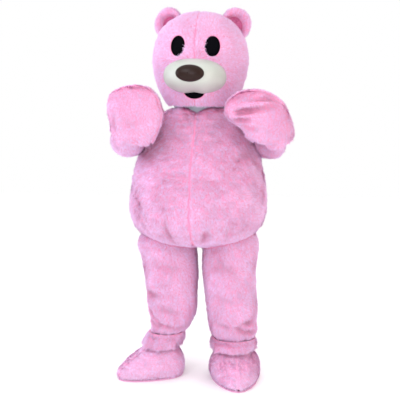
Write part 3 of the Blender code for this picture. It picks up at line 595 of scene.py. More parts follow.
@dataclass
class Surface:
    """A ring grid: points by row and column, with each ring's middle, directions and half sizes."""

    points: np.ndarray
    centres: np.ndarray
    side: np.ndarray
    front: np.ndarray
    sizes: np.ndarray
    # painted shading of the folds at each point: shade in troughs, light on ridges
    fold_shading: Optional[np.ndarray] = None

    @classmethod
    def of(
        cls,
        table: Sequence[Section],
        rows: int,
        columns: int,
        facing: Optional[Point] = None,
        front_point: float = 2.0,
    ) -> "Surface":
        """Rings through a table of sections.

        Args:
            table: the sections, in order along the tube.
            rows: how many rings.
            columns: how many points in each ring. Column 0 is the front.
            facing: the front's direction for rings square to their path, or None for level rings.
            front_point: under 2 draws the front to a point.

        Returns:
            The surface, in the floor's frame.
        """
        sections = smooth_rows(table, rows)
        centres = sections[:, :3]
        if facing is not None:
            tangent = unit(np.gradient(centres, axis=0))
            ahead = np.array(facing, float)
            front = unit(ahead - tangent * (tangent @ ahead)[:, None])
            side = np.cross(front, tangent)
        else:
            front = np.tile([0.0, -1.0, 0.0], (rows, 1))
            side = np.tile([1.0, 0.0, 0.0], (rows, 1))
        angle = ring_angles(columns)
        power = np.where(np.cos(angle) > 0, 2.0 / front_point, 1.0)
        across = signed_power(np.sin(angle), power)
        forth = signed_power(np.cos(angle), power)
        depth = np.where(forth > 0, sections[:, 4:5], sections[:, 5:6])
        points = (
            centres[:, None, :]
            + side[:, None, :] * (sections[:, 3:4] * across)[..., None]
            + front[:, None, :] * (depth * forth)[..., None]
        )
        return cls(points, centres, side, front, sections[:, 3:])

    @property
    def normals(self) -> np.ndarray:
        """Unit normals that point away from the tube's middle.

        Returns:
            One normal for each point. A closed end has one normal for its whole ring.
        """
        around = np.roll(self.points, -1, axis=1) - np.roll(self.points, 1, axis=1)
        normal = unit(np.cross(around, np.gradient(self.points, axis=0)))
        middle = self.points.mean(axis=1, keepdims=True)
        if np.sum(normal * (self.points - middle)) < 0:
            normal = -normal
        if np.ptp(self.points[-1], axis=0).max() < 3 * TINY:
            normal[-1] = unit(normal[-1].mean(axis=0))
        return normal

    def pressed(self, depth: np.ndarray) -> "Surface":
        """The surface moved inwards by a depth at each point."""
        return replace(self, points=self.points - self.normals * depth[..., None])

    def pressed_along(self, creases: Sequence[Crease]) -> "Surface":
        """The surface with each crease pressed in as a soft, tapered trough.

        Args:
            creases: the troughs, in the floor's frame.

        Returns:
            The creased surface, which also carries its folds' painted shading: shade in a trough, light
            on a ridge.
        """
        depth = np.zeros(self.points.shape[:2])
        normals = self.normals
        for crease in creases:
            start, end = np.array(crease.start), np.array(crease.end)
            run = end - start
            share = np.clip((self.points - start) @ run / (run @ run), 0.0, 1.0)
            gap = self.points - (start + share[..., None] * run)
            through = np.sum(gap * normals, axis=-1)
            through = through.clip(-CREASE_REACH, CREASE_REACH)
            away = np.linalg.norm(gap - normals * through[..., None], axis=-1)
            taper = 1.0 - 0.5 * (2 * share - 1) ** 2
            depth += CREASE_STRENGTH * crease.depth * taper * np.exp(-((away / crease.width) ** 2))
        # The folds' depth also sets painted shade on the pile in troughs and painted light on ridges.
        return replace(self.pressed(depth), fold_shading=(depth / FULL_FOLD_SHADE).clip(-0.4, 1.0))

    def stitched(self, columns: Sequence[int], depth: float, width: float) -> "Surface":
        """The surface drawn in along its seams.

        Args:
            columns: the columns that the seams run down.
            depth: how far a seam is drawn in.
            width: how far from a seam that is still felt.

        Returns:
            The surface with its seams.
        """
        dip = np.zeros(self.points.shape[:2])
        for column in columns:
            line = self.points[:, [column % self.points.shape[1]]]
            away = np.linalg.norm(self.points - line, axis=-1)
            dip = np.maximum(dip, depth * np.exp(-((away / width) ** 2)))
        return self.pressed(dip)

    def uneven(self, seed: int, amount: float = 1.0) -> "Surface":
        """The surface with the soft swells of stuffed, hand-sewn plush."""
        wide, fine = swirl(self.points, 0.085, seed), swirl(self.points, 0.030, seed + 1)
        swell = 0.0020 * wide + 0.0008 * fine
        return self.pressed(np.clip(swell, -0.001, 0.006) * amount)

    def moved(self, turn: np.ndarray, place: Sequence[float]) -> "Surface":
        """The surface turned by a matrix and then carried to a place."""
        shift = np.array(place, float)
        return Surface(
            self.points @ turn.T + shift,
            self.centres @ turn.T + shift,
            self.side @ turn.T,
            self.front @ turn.T,
            self.sizes,
            self.fold_shading,
        )

    def holds(self, points: np.ndarray, share: float = 1.0) -> np.ndarray:
        """Tells which points lie inside the tube.

        Args:
            points: the places to test.
            share: how much of the tube's half sizes counts as its inside.

        Returns:
            True for each point that lies inside.
        """
        flat = points.reshape(-1, 3)
        nearest = np.zeros(len(flat), int)
        for start in range(0, len(flat), BATCH):
            part = flat[start : start + BATCH]
            gap = np.linalg.norm(part[:, None, :] - self.centres[None, :, :], axis=-1)
            nearest[start : start + BATCH] = gap.argmin(axis=1)
        offset = flat - self.centres[nearest]
        across = np.sum(offset * self.side[nearest], axis=1) / self.sizes[nearest, 0]
        forth = np.sum(offset * self.front[nearest], axis=1)
        forth = forth / np.where(forth > 0, self.sizes[nearest, 1], self.sizes[nearest, 2])
        path = np.cross(self.side[nearest], self.front[nearest])
        along = np.abs(np.sum(offset * path, axis=1))
        inside = (across**2 + forth**2 < share**2) & (along < TUBE_REACH)
        return inside.reshape(points.shape[:-1])


@dataclass
class Patch:
    """A piece of a surface between two columns: what one sewn panel covers."""

    points: np.ndarray
    normals: np.ndarray
    # painted shading of the folds at each point: shade in troughs, light on ridges
    fold_shading: Optional[np.ndarray] = None

    @classmethod
    def cut(cls, surface: Surface, first: int, last: int) -> "Patch":
        """Cuts a panel out of a surface.

        Args:
            surface: what the panel is cut from.
            first: its first column. Columns may run past the ring's end.
            last: its last column, which is included.

        Returns:
            The panel.
        """
        columns = [j % surface.points.shape[1] for j in range(first, last + 1)]
        fold_shading = None if surface.fold_shading is None else surface.fold_shading[:, columns]
        return cls(surface.points[:, columns], surface.normals[:, columns], fold_shading)

    @classmethod
    def whole(cls, surface: Surface) -> "Patch":
        """All of a surface, with its first column repeated at the end."""
        return cls.cut(surface, 0, surface.points.shape[1])

    @classmethod
    def of_grid(cls, points: np.ndarray) -> "Patch":
        """All of a closed grid of points that is no tube."""
        blank = np.zeros((len(points), 3))
        return cls.whole(Surface(points, points.mean(axis=1), blank, blank, blank))

    def lowered(self, depth: float) -> "Patch":
        """The patch moved inwards, as the backing lies under the pile."""
        return replace(self, points=self.points - self.normals * depth)

    def quad_areas(self) -> np.ndarray:
        """The patch's area, piece by piece.

        Returns:
            The area of each quad, by row and column.
        """
        p = self.points
        diagonal = p[1:, 1:] - p[:-1, :-1]
        other = p[1:, :-1] - p[:-1, 1:]
        return np.linalg.norm(np.cross(diagonal, other), axis=-1) / 2

    def cut_size(self) -> Tuple[float, float, float]:
        """The flat piece that the patch is sewn from.

        Returns:
            Its widest girth, its longest run and its area.
        """
        p = self.points
        girth = np.linalg.norm(np.diff(p, axis=1), axis=-1).sum(axis=1).max()
        run = np.linalg.norm(np.diff(p, axis=0), axis=-1).sum(axis=0).max()
        return float(girth), float(run), float(self.quad_areas().sum())


def linked(name: str, data: bpy.types.ID) -> bpy.types.Object:
    """A new object with this data, in the scene."""
    made = bpy.data.objects.new(name, data)
    bpy.context.scene.collection.objects.link(made)
    return made


class ShaderLibrary:
    """The shared node groups and the materials made from them."""

    def __init__(self) -> None:
        """Builds each node group once."""
        self._materials: Dict[str, bpy.types.Material] = {}
        self._pile = self._make_pile_group()
        self._grain = self._make_grain_group()
        self._drift = self._make_drift_group()

    @staticmethod
    def _group(
        name: str, inputs: Sequence[Tuple[str, str]], outputs: Sequence[Tuple[str, str]]
    ) -> Tuple[bpy.types.NodeTree, bpy.types.Node, bpy.types.Node]:
        """Starts a node group.

        Args:
            name: the group's name.
            inputs: each input's name and socket type.
            outputs: each output's name and socket type.

        Returns:
            The group, the node of its inputs and the node of its outputs.
        """
        group = bpy.data.node_groups.new(name, "ShaderNodeTree")
        for label, kind in inputs:
            group.interface.new_socket(label, in_out="INPUT", socket_type=kind)
        for label, kind in outputs:
            group.interface.new_socket(label, in_out="OUTPUT", socket_type=kind)
        return group, group.nodes.new("NodeGroupInput"), group.nodes.new("NodeGroupOutput")

    def _make_drift_group(self) -> bpy.types.NodeTree:
        """Slow changes of tone over a whole piece.

        Returns:
            The group, which takes a colour and puts out the drifted one.
        """
        group, given, made = self._group(
            "tone_drift",
            [("Colour", "NodeSocketColor"), ("Amount", "NodeSocketFloat")],
            [("Colour", "NodeSocketColor")],
        )
        nodes, links = group.nodes, group.links
        place = nodes.new("ShaderNodeTexCoord")
        noise = nodes.new("ShaderNodeTexNoise")
        noise.inputs["Scale"].default_value = 7.0
        noise.inputs["Detail"].default_value = 4.0
        spread = nodes.new("ShaderNodeMapRange")
        spread.inputs["From Min"].default_value = 0.3
        spread.inputs["From Max"].default_value = 0.7
        spread.inputs["To Min"].default_value = -1.0
        spread.inputs["To Max"].default_value = 1.0
        scaled = nodes.new("ShaderNodeMath")
        scaled.operation = "MULTIPLY_ADD"
        scaled.inputs[2].default_value = 1.0
        shift = nodes.new("ShaderNodeHueSaturation")
        links.new(place.outputs["Object"], noise.inputs["Vector"])
        links.new(noise.outputs["Fac"], spread.inputs["Value"])
        links.new(spread.outputs["Result"], scaled.inputs[0])
        links.new(given.outputs["Amount"], scaled.inputs[1])
        links.new(scaled.outputs[0], shift.inputs["Value"])
        links.new(given.outputs["Colour"], shift.inputs["Color"])
        links.new(shift.outputs["Color"], made.inputs["Colour"])
        return group

    def _make_pile_group(self) -> bpy.types.NodeTree:
        """The colour of one strand from its root to its tip, with its own and its tuft's tone and the
        painted shading of folds.

        Returns:
            The group, which takes the colours of root and tip.
        """
        group, given, made = self._group(
            "pile_tone",
            [("Root", "NodeSocketColor"), ("Tip", "NodeSocketColor"), ("Tuft", "NodeSocketFloat")],
            [("Colour", "NodeSocketColor")],
        )
        nodes, links = group.nodes, group.links
        strand = nodes.new("ShaderNodeAttribute")
        strand.attribute_name = "strand"
        parts = nodes.new("ShaderNodeSeparateColor")
        along = nodes.new("ShaderNodeMath")
        along.operation = "POWER"
        along.inputs[1].default_value = 0.75
        mix = nodes.new("ShaderNodeMix")
        mix.data_type = "RGBA"
        own = nodes.new("ShaderNodeMapRange")
        own.clamp = False
        own.inputs["To Min"].default_value = 0.93
        own.inputs["To Max"].default_value = 1.10
        loss = nodes.new("ShaderNodeMath")
        loss.operation = "MULTIPLY"
        kept = nodes.new("ShaderNodeMath")
        kept.operation = "SUBTRACT"
        kept.inputs[0].default_value = 1.0
        share = nodes.new("ShaderNodeMath")
        share.operation = "MULTIPLY"
        shift = nodes.new("ShaderNodeHueSaturation")
        links.new(strand.outputs["Color"], parts.inputs["Color"])
        links.new(parts.outputs["Red"], along.inputs[0])
        links.new(parts.outputs["Blue"], loss.inputs[0])
        links.new(given.outputs["Tuft"], loss.inputs[1])
        links.new(loss.outputs[0], kept.inputs[1])
        links.new(along.outputs[0], share.inputs[0])
        links.new(kept.outputs[0], share.inputs[1])
        links.new(share.outputs[0], mix.inputs["Factor"])
        links.new(given.outputs["Root"], mix.inputs["A"])
        links.new(given.outputs["Tip"], mix.inputs["B"])
        links.new(parts.outputs["Green"], own.inputs["Value"])
        links.new(own.outputs["Result"], shift.inputs["Value"])
        links.new(mix.outputs["Result"], shift.inputs["Color"])
        links.new(shift.outputs["Color"], made.inputs["Colour"])
        return group

    def _make_grain_group(self) -> bpy.types.NodeTree:
        """A fine grain.

        Returns:
            The group, which puts out a shade mask and a bumped normal.
        """
        group, given, made = self._group(
            "fine_grain",
            [("Size", "NodeSocketFloat"), ("Strength", "NodeSocketFloat")],
            [("Mask", "NodeSocketFloat"), ("Normal", "NodeSocketVector")],
        )
        nodes, links = group.nodes, group.links
        place = nodes.new("ShaderNodeTexCoord")
        noise = nodes.new("ShaderNodeTexNoise")
        noise.inputs["Detail"].default_value = 5.0
        bump = nodes.new("ShaderNodeBump")
        bump.inputs["Distance"].default_value = 0.0006
        links.new(place.outputs["Object"], noise.inputs["Vector"])
        links.new(given.outputs["Size"], noise.inputs["Scale"])
        links.new(noise.outputs["Fac"], bump.inputs["Height"])
        links.new(given.outputs["Strength"], bump.inputs["Strength"])
        links.new(noise.outputs["Fac"], made.inputs["Mask"])
        links.new(bump.outputs["Normal"], made.inputs["Normal"])
        return group

    def _new(self, name: str) -> Tuple[bpy.types.Material, bpy.types.Nodes, bpy.types.NodeLinks]:
        """Starts a material.

        Args:
            name: the material's name.

        Returns:
            The material, its nodes and its links.
        """
        material = bpy.data.materials.new(name)
        material.use_nodes = True
        self._materials[name] = material
        return material, material.node_tree.nodes, material.node_tree.links

    def pile(self, finish: PileFinish) -> bpy.types.Material:
        """The material of a plush's strands.

        Args:
            finish: the plush.

        Returns:
            The material, made once for each name.
        """
        name = f"{finish.name}_pile"
        if name in self._materials:
            return self._materials[name]
        material, nodes, links = self._new(name)
        surface = nodes["Principled BSDF"]
        tone = nodes.new("ShaderNodeGroup")
        tone.node_tree = self._pile
        tone.inputs["Root"].default_value = (*finish.root, 1.0)
        tone.inputs["Tip"].default_value = (*finish.tip, 1.0)
        tone.inputs["Tuft"].default_value = 0.42
        drift = nodes.new("ShaderNodeGroup")
        drift.node_tree = self._drift
        drift.inputs["Amount"].default_value = 0.05
        links.new(tone.outputs["Colour"], drift.inputs["Colour"])
        links.new(drift.outputs["Colour"], surface.inputs["Base Color"])
        surface.inputs["Roughness"].default_value = 0.8
        surface.inputs["Specular IOR Level"].default_value = 0.12
        surface.inputs["Sheen Weight"].default_value = 0.10
        surface.inputs["Sheen Roughness"].default_value = 0.5
        surface.inputs["Sheen Tint"].default_value = (*finish.tip, 1.0)
        return material

    def backing(self, finish: PileFinish) -> bpy.types.Material:
        """The material of the knit that a plush's pile grows from."""
        name, knit = f"{finish.name}_backing", finish.root
        return self.plain(PlainFinish(name, finish.slot, knit, knit, 0.95, 0.5, 500.0, sheen=0.3))

    def plain(self, finish: PlainFinish) -> bpy.types.Material:
        """The material of a surface with no pile.

        Args:
            finish: the colours, grain and gloss.

        Returns:
            The material, made once for each name.
        """
        if finish.name in self._materials:
            return self._materials[finish.name]
        material, nodes, links = self._new(finish.name)
        surface = nodes["Principled BSDF"]
        grain = nodes.new("ShaderNodeGroup")
        grain.node_tree = self._grain
        grain.inputs["Size"].default_value = finish.grain_size
        grain.inputs["Strength"].default_value = finish.grain
        drift = nodes.new("ShaderNodeGroup")
        drift.node_tree = self._drift
        drift.inputs["Amount"].default_value = 0.05
        mix = nodes.new("ShaderNodeMix")
        mix.data_type = "RGBA"
        mix.inputs["A"].default_value = (*finish.shade, 1.0)
        mix.inputs["B"].default_value = (*finish.colour, 1.0)
        links.new(grain.outputs["Mask"], mix.inputs["Factor"])
        links.new(mix.outputs["Result"], drift.inputs["Colour"])
        links.new(drift.outputs["Colour"], surface.inputs["Base Color"])
        links.new(grain.outputs["Normal"], surface.inputs["Normal"])
        surface.inputs["Roughness"].default_value = finish.roughness
        surface.inputs["Sheen Weight"].default_value = finish.sheen
        surface.inputs["Coat Weight"].default_value = finish.coat
        surface.inputs["Specular IOR Level"].default_value = finish.shine
        surface.inputs["Coat Roughness"].default_value = 0.25
        return material


class Workshop:
    """Makes the meshes, dresses them and ties them to the frame."""

    def __init__(self, shaders: ShaderLibrary) -> None:
        """Takes the materials, and starts the count of strands."""
        self.shaders = shaders
        self.strands = 0

    @staticmethod
    def in_row(points: np.ndarray) -> np.ndarray:
        """Points of the floor's frame in the row's frame."""
        return points - np.array([0.0, 0.0, SHOULDER_HEIGHT])

    @staticmethod
    def _add(
        mesh: bpy.types.Mesh, name: str, material: bpy.types.Material, slot: str
    ) -> bpy.types.Object:
        """Puts a mesh in the scene.

        Args:
            mesh: the mesh.
            name: the object's name.
            material: what it is made of.
            slot: the record's material slot, which is not used.

        Returns:
            The new object, not yet tied to the frame.
        """
        made = linked(name, mesh)
        made.data.materials.append(material)
        return made

    def shell(
        self, name: str, patch: Patch, thickness: float, material: bpy.types.Material, slot: str
    ) -> bpy.types.Object:
        """A thin closed shell whose outside is the patch.

        Args:
            name: the object's name.
            patch: the outside.
            thickness: how far the inside lies behind it.
            material: what it is made of.
            slot: the record's material slot.

        Returns:
            The new object, not yet tied to the frame.
        """
        rows, columns = patch.points.shape[:2]
        count = rows * columns
        inner = patch.points - patch.normals * thickness
        points = self.in_row(np.concatenate([patch.points.reshape(-1, 3), inner.reshape(-1, 3)]))
        i, j = np.meshgrid(np.arange(rows - 1), np.arange(columns - 1), indexing="ij")
        a = (i * columns + j).ravel()
        b, c, d = a + 1, a + columns + 1, a + columns
        quads = [np.stack([a, b, c, d], 1), np.stack([d, c, b, a], 1) + count]
        top = np.arange(columns - 1)
        low = top + (rows - 1) * columns
        left = np.arange(rows - 1) * columns
        right = left + columns - 1
        quads.append(np.stack([top + 1, top, top + count, top + 1 + count], 1))
        quads.append(np.stack([low, low + 1, low + 1 + count, low + count], 1))
        quads.append(np.stack([left, left + columns, left + columns + count, left + count], 1))
        quads.append(np.stack([right + columns, right, right + count, right + columns + count], 1))
        faces = np.concatenate(quads)
        sample = points[faces[len(faces) // 4]]
        outward = patch.normals.reshape(-1, 3)[faces[len(faces) // 4][0] % count]
        if np.dot(np.cross(sample[1] - sample[0], sample[2] - sample[1]), outward) < 0:
            faces = faces[:, ::-1]
        mesh = bpy.data.meshes.new(name)
        mesh.from_pydata(points.tolist(), [], faces.tolist())
        mesh.update()
        mesh.shade_smooth()
        mesh.set_sharp_from_angle(angle=math.radians(SHARP_ANGLE))
        return self._add(mesh, name, material, slot)

    def sheet(self, node: str, patch: Patch, finish: PileFinish) -> bpy.types.Object:
        """One sewn panel's backing. The size of the flat piece that it was cut from is worked out and not
        used.

        Args:
            node: the CAD node that the panel stands for.
            patch: where the pile's tips reach.
            finish: the plush.

        Returns:
            The backing.
        """
        backing = patch.lowered(PILE_DEPTH)
        knit = self.shaders.backing(finish)
        made = self.shell(f"cloth_{node}", backing, BACKING, knit, finish.slot)
        width, length, area = backing.cut_size()
        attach(made, "root")
        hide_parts(node)
        return made

    def pile(
        self,
        name: str,
        patch: Patch,
        finish: PileFinish,
        comb: Comb,
        seed: int,
        keep: Sequence[Keep] = (),
        part: Optional[Dict[int, float]] = None,
    ) -> None:
        """The strands that grow on one patch.

        Args:
            name: the object's name.
            patch: the surface that the pile's tips reach.
            finish: the plush.
            comb: the direction that the pile is brushed in, at each root.
            seed: which of the many arrangements.
            keep: tests of the roots. A root grows only where every one of them says so.
            part: the columns along which the pile parts, each with the bare seam's reach to a side.
        """
        rng = np.random.default_rng(seed)
        backing = patch.lowered(PILE_DEPTH)
        area = backing.quad_areas().ravel()
        count = int(area.sum() * finish.per_square_metre)
        wanted = rng.uniform(0, area.sum(), count)
        quad = np.searchsorted(np.cumsum(area), wanted).clip(0, len(area) - 1)
        columns = backing.points.shape[1]
        i, j = quad // (columns - 1), quad % (columns - 1)
        u, v = rng.random((count, 1)), rng.random((count, 1))

        def blended(grid: np.ndarray) -> np.ndarray:
            """A grid's values at the roots."""
            top = grid[i, j] * (1 - u) + grid[i, j + 1] * u
            low = grid[i + 1, j] * (1 - u) + grid[i + 1, j + 1] * u
            return top * (1 - v) + low * v

        root, normal = blended(backing.points), unit(blended(backing.normals))
        fold_shading = np.zeros(count) if backing.fold_shading is None else blended(backing.fold_shading[..., None])[:, 0]
        grows = np.ones(count, bool)
        for test in keep:
            grows &= test(root)
        away = np.zeros((count, 3))
        for column, bare in (part or {}).items():
            line = backing.points[i, column] * (1 - v) + backing.points[i + 1, column] * v
            gap = root - line
            distance = np.linalg.norm(gap, axis=1, keepdims=True)
            away += unit(gap) * SEAM_PUSH * np.exp(-((distance / SEAM_REACH) ** 2))
            grows &= distance[:, 0] > bare
        root, normal, away = root[grows], normal[grows], away[grows]
        self._strand_mesh(name, root, normal, comb(root) + away, fold_shading[grows], finish, rng)

    def _strand_mesh(
        self,
        name: str,
        root: np.ndarray,
        normal: np.ndarray,
        brushed: np.ndarray,
        fold_shading: np.ndarray,
        finish: PileFinish,
        rng: np.random.Generator,
    ) -> None:
        """Makes one object of many strands, each a single narrow triangle.

        Args:
            name: the object's name.
            root: where each strand starts.
            normal: the backing's normal at each root.
            brushed: the direction that each strand is brushed in.
            fold_shading: the painted shade that each root takes from its fold, up to 1; below 0 it is
                painted light on a ridge.
            finish: the plush.
            rng: the source of the random draws.
        """
        count = len(root)
        along = unit(brushed - normal * np.sum(brushed * normal, axis=1, keepdims=True))
        across = np.cross(normal, along)
        turn = STRAND_SWIRL * swirl(root, 0.050, 61) + STRAND_SWIRL * swirl(root, 0.016, 62)
        turn = (turn + rng.normal(0, finish.unruly, count))[:, None]
        along = along * np.cos(turn) + across * np.sin(turn)
        raised = finish.lift + LIFT_SWELL * swirl(root * [0.5, 0.5, 1.0], 0.018, 63)
        lift = np.radians(raised + rng.normal(0, LIFT_SPREAD, count))
        lift = lift.clip(*LIFT_LIMITS)[:, None]
        grown = 1 + 0.12 * swirl(root, 0.030, 64) + rng.normal(0, LENGTH_SPREAD, count)
        shortest, longest = (finish.length * limit for limit in LENGTH_LIMITS)
        length = (finish.length * grown).clip(shortest, longest)[:, None]
        direction = along * np.cos(lift) + normal * np.sin(lift)
        pull, tuft = tufts(root, finish.clump * np.array(TUFT_SHAPE))
        pull -= normal * np.sum(pull * normal, axis=1, keepdims=True)
        tip = root + direction * length + pull * finish.gather
        tip[:, 2] = tip[:, 2].clip(FLOOR_CLEARANCE)
        direction = unit(tip - root)
        width = finish.width * rng.uniform(*WIDTH_LIMITS, (count, 1))
        half = unit(np.cross(direction, normal)) * width / 2
        low = root - normal * ROOT_DEPTH
        points = self.in_row(np.stack([low - half, low + half, tip], axis=1).reshape(-1, 3))
        flat = unit(normal - direction * np.sum(normal * direction, axis=1, keepdims=True))
        soft = unit(normal + STRAND_FACING * flat + rng.normal(0, SHADE_SPREAD, (count, 3)))
        shade = np.stack([soft, soft, unit(soft + 0.25 * along)], axis=1).reshape(-1, 3)
        mesh = bpy.data.meshes.new(name)
        mesh.vertices.add(3 * count)
        mesh.loops.add(3 * count)
        mesh.polygons.add(count)
        mesh.vertices.foreach_set("co", points.ravel())
        mesh.loops.foreach_set("vertex_index", np.arange(3 * count))
        mesh.polygons.foreach_set("loop_start", np.arange(count) * 3)
        mesh.polygons.foreach_set("loop_total", np.full(count, 3))
        mesh.update(calc_edges=True)
        mesh.shade_smooth()
        mesh.normals_split_custom_set_from_vertices(shade.tolist())
        tone = rng.random(count)
        facts = np.ones((count, 3, 4))
        # Painted shading of the folds: in a trough a strand keeps less of its tip's colour and a darker
        # tone, on a ridge a lighter tone.
        facts[:, 2, 0] = 1.0 - FOLD_SHADE_TIP_LOSS * fold_shading.clip(0.0, 1.0)
        facts[:, :2, 0] = 0.0
        facts[:, :, 1] = (tone - FOLD_SHADE_TONE_LOSS * fold_shading)[:, None]
        facts[:, :, 2] = (tuft - 0.5)[:, None]
        strand = mesh.attributes.new("strand", "FLOAT_COLOR", "POINT")
        strand.data.foreach_set("color", facts.ravel())
        self._bake_map(mesh, count)
        made = self._add(mesh, name, self.shaders.pile(finish), finish.slot)
        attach(made, "root")
        self.strands += count
        LOG.info("%s: %d strands", name, count)

    @staticmethod
    def _bake_map(mesh: bpy.types.Mesh, count: int) -> None:
        """A UV map that gives each strand a small triangle of its own.

        Args:
            mesh: the strands.
            count: how many strands.
        """
        across = int(math.ceil(math.sqrt(count)))
        cell = np.stack([np.arange(count) % across, np.arange(count) // across], axis=1)
        corner = np.array([[0.15, 0.15], [0.85, 0.15], [0.5, 0.85]])
        uv = (cell[:, None, :] + corner[None, :, :]) / across
        mesh.uv_layers.new(name="OFBake").data.foreach_set("uv", uv.reshape(-1))

    def dressed(
        self, node: str, patch: Patch, finish: PileFinish, **growth: Any
    ) -> bpy.types.Object:
        """A panel of plush: its backing and its pile.

        Args:
            node: the CAD node that the panel stands for, which both objects' names end in.
            patch: where the pile's tips reach.
            finish: the plush.
            **growth: hold, which is not used, and comb, seed, keep and part.

        Returns:
            The backing.
        """
        hold = growth.pop("hold", Hold.HUNG)
        backing = self.sheet(node, patch, finish)
        self.pile(f"pile_{node}", patch, finish, **growth)
        return backing

    def carried(self, frame: dict, node: str, finish: PlainFinish) -> None:
        """Gives a CAD node that shows as it is a finish of its own.

        Args:
            frame: the loaded frame.
            node: the CAD node.
            finish: its finish.
        """
        shown = frame["nodes"][node]
        shown.data.materials.clear()
        shown.data.materials.append(self.shaders.plain(finish))
        LOG.info("%s: carried over", node)


def brushed_down(points: np.ndarray) -> np.ndarray:
    """Pile that is brushed downwards, a little unevenly.

    Args:
        points: the roots.

    Returns:
        The direction at each root, at any length.
    """
    comb = np.zeros_like(points)
    comb[:, 2] = -1.0
    comb[:, 0] = 0.35 * swirl(points, 0.16, 5)
    comb[:, 1] = 0.15
    return comb


@dataclass
class Torso:
    """Two fronts and two backs round the belly."""

    rows: int = 90
    columns: int = 144
    collar_share: float = 3.0 / 17.0
    ripple: float = 0.0011
    ripple_turns: float = 165.0
    surface: Surface = field(init=False)

    def __post_init__(self) -> None:
        """Shapes the trunk, with its collar, ripples and seams."""
        surface = Surface.of(TORSO, self.rows, self.columns).pressed_along(TORSO_CREASES)
        points = surface.points.copy()
        for row in range(self.rows):
            share = max(0.0, 1.0 - row / (self.rows * self.collar_share))
            dip = NECK_DIP * share * np.exp(-((points[row, :, 0] / NECK_DIP_WIDTH) ** 2))
            points[row, :, 2] -= np.where(points[row, :, 1] < 0, dip, 0.0)
            points[row, :, 2] += COLLAR_RISE * share**4
        phase = points[..., 2] * self.ripple_turns + 2.0 * swirl(points, 0.11, 71)
        ripple = self.ripple * np.sin(phase)
        seams = range(0, self.columns, self.columns // 4)
        surface = replace(surface, points=points).pressed(ripple + self.ripple)
        self.surface = surface.uneven(11).stitched(seams, *TORSO_SEAM)

    def build(self, shop: Workshop, limbs: Sequence[Surface]) -> None:
        """Makes the four panels. No pile grows where a limb opens into the torso.

        Args:
            shop: what makes and dresses the meshes.
            limbs: the tubes of the sleeves and legs.
        """
        quarter = self.columns // 4

        def clear(points: np.ndarray) -> np.ndarray:
            """True for each point that no limb covers."""
            shown = np.ones(len(points), bool)
            for limb in limbs:
                shown &= ~limb.holds(points, 0.9)
            return shown

        for turn, node in enumerate(("front_left", "back_left", "back_right", "front_right")):
            patch = Patch.cut(self.surface, turn * quarter, (turn + 1) * quarter)
            middle, side = (0, quarter) if turn % 2 == 0 else (quarter, 0)
            shop.dressed(
                node,
                patch,
                PINK_PLUSH,
                comb=brushed_down,
                seed=100 + turn,
                keep=[clear],
                part={middle: BELLY_BARE, side: SEAM_BARE},
            )

    def hides(self, points: np.ndarray) -> np.ndarray:
        """Tells which points lie inside the torso.

        Args:
            points: the places to test.

        Returns:
            True for each point that lies inside.
        """
        rows = smooth_rows(TORSO, 80)
        height = rows[::-1, 2]
        values = [np.interp(points[:, 2], height, rows[::-1, k]) for k in range(6)]
        across = (points[:, 0] - values[0]) / np.maximum(values[3], 1e-4)
        forth = points[:, 1] - values[1]
        forth = forth / np.maximum(np.where(forth < 0, values[4], values[5]), 1e-4)
        level = (points[:, 2] > TORSO[-1].z) & (points[:, 2] < TORSO[0].z)
        return level & (across**2 + forth**2 < TORSO_ROOM)


@dataclass
class Limb:
    """A leg or a sleeve: a tube of two panels that comes out of the torso."""

    kind: str
    side: Side
    table: Sequence[Section]
    creases: Sequence[Crease]
    names: Tuple[str, str]
    facing: Optional[Point]
    seed: int
    gathers: float = 0.0
    gather_count: int = 11
    rows: int = 66
    columns: int = 80
    surface: Surface = field(init=False)

    def __post_init__(self) -> None:
        """Shapes the tube, with its creases, gathers and seams."""
        surface = Surface.of(self.table, self.rows, self.columns, self.facing)
        surface = surface.pressed_along(self.creases)
        if self.gathers:
            angle = ring_angles(self.columns)
            uneven = 1.4 * np.sin(3 * angle + self.seed)
            wave = 0.5 + 0.5 * np.cos(self.gather_count * angle + uneven)
            end = np.linalg.norm(surface.centres - surface.centres[-1], axis=1)
            near = np.exp(-((end / GATHER_REACH) ** 2))[:, None]
            surface = surface.pressed(self.gathers * wave[None, :] * near)
        quarter = self.columns // 4
        surface = surface.uneven(self.seed, 1.2)
        self.surface = surface.stitched((quarter, 3 * quarter), *LIMB_SEAM)

    def build(self, shop: Workshop, torso: Torso) -> None:
        """Makes the two panels. No pile grows inside the torso.

        Args:
            shop: what makes and dresses the meshes.
            torso: what the tube comes out of.
        """
        quarter = self.columns // 4
        spans = ((-quarter, quarter), (quarter, 3 * quarter))
        for turn, (label, (first, last)) in enumerate(zip(self.names, spans)):
            name = f"{self.kind}_{self.side.word}_{label}"
            full = Patch.cut(self.surface, first, last)
            hidden = torso.hides(full.points.reshape(-1, 3)).reshape(full.points.shape[:2])
            shown = ~hidden.all(axis=1)
            start = max(int(np.argmax(shown)) - 2, 0)
            fold_shading = None if full.fold_shading is None else full.fold_shading[start:]
            patch = Patch(full.points[start:], full.normals[start:], fold_shading)
            shop.dressed(
                name,
                patch,
                PINK_PLUSH,
                comb=brushed_down,
                seed=self.seed + turn,
                keep=[lambda points: ~torso.hides(points)],
            )


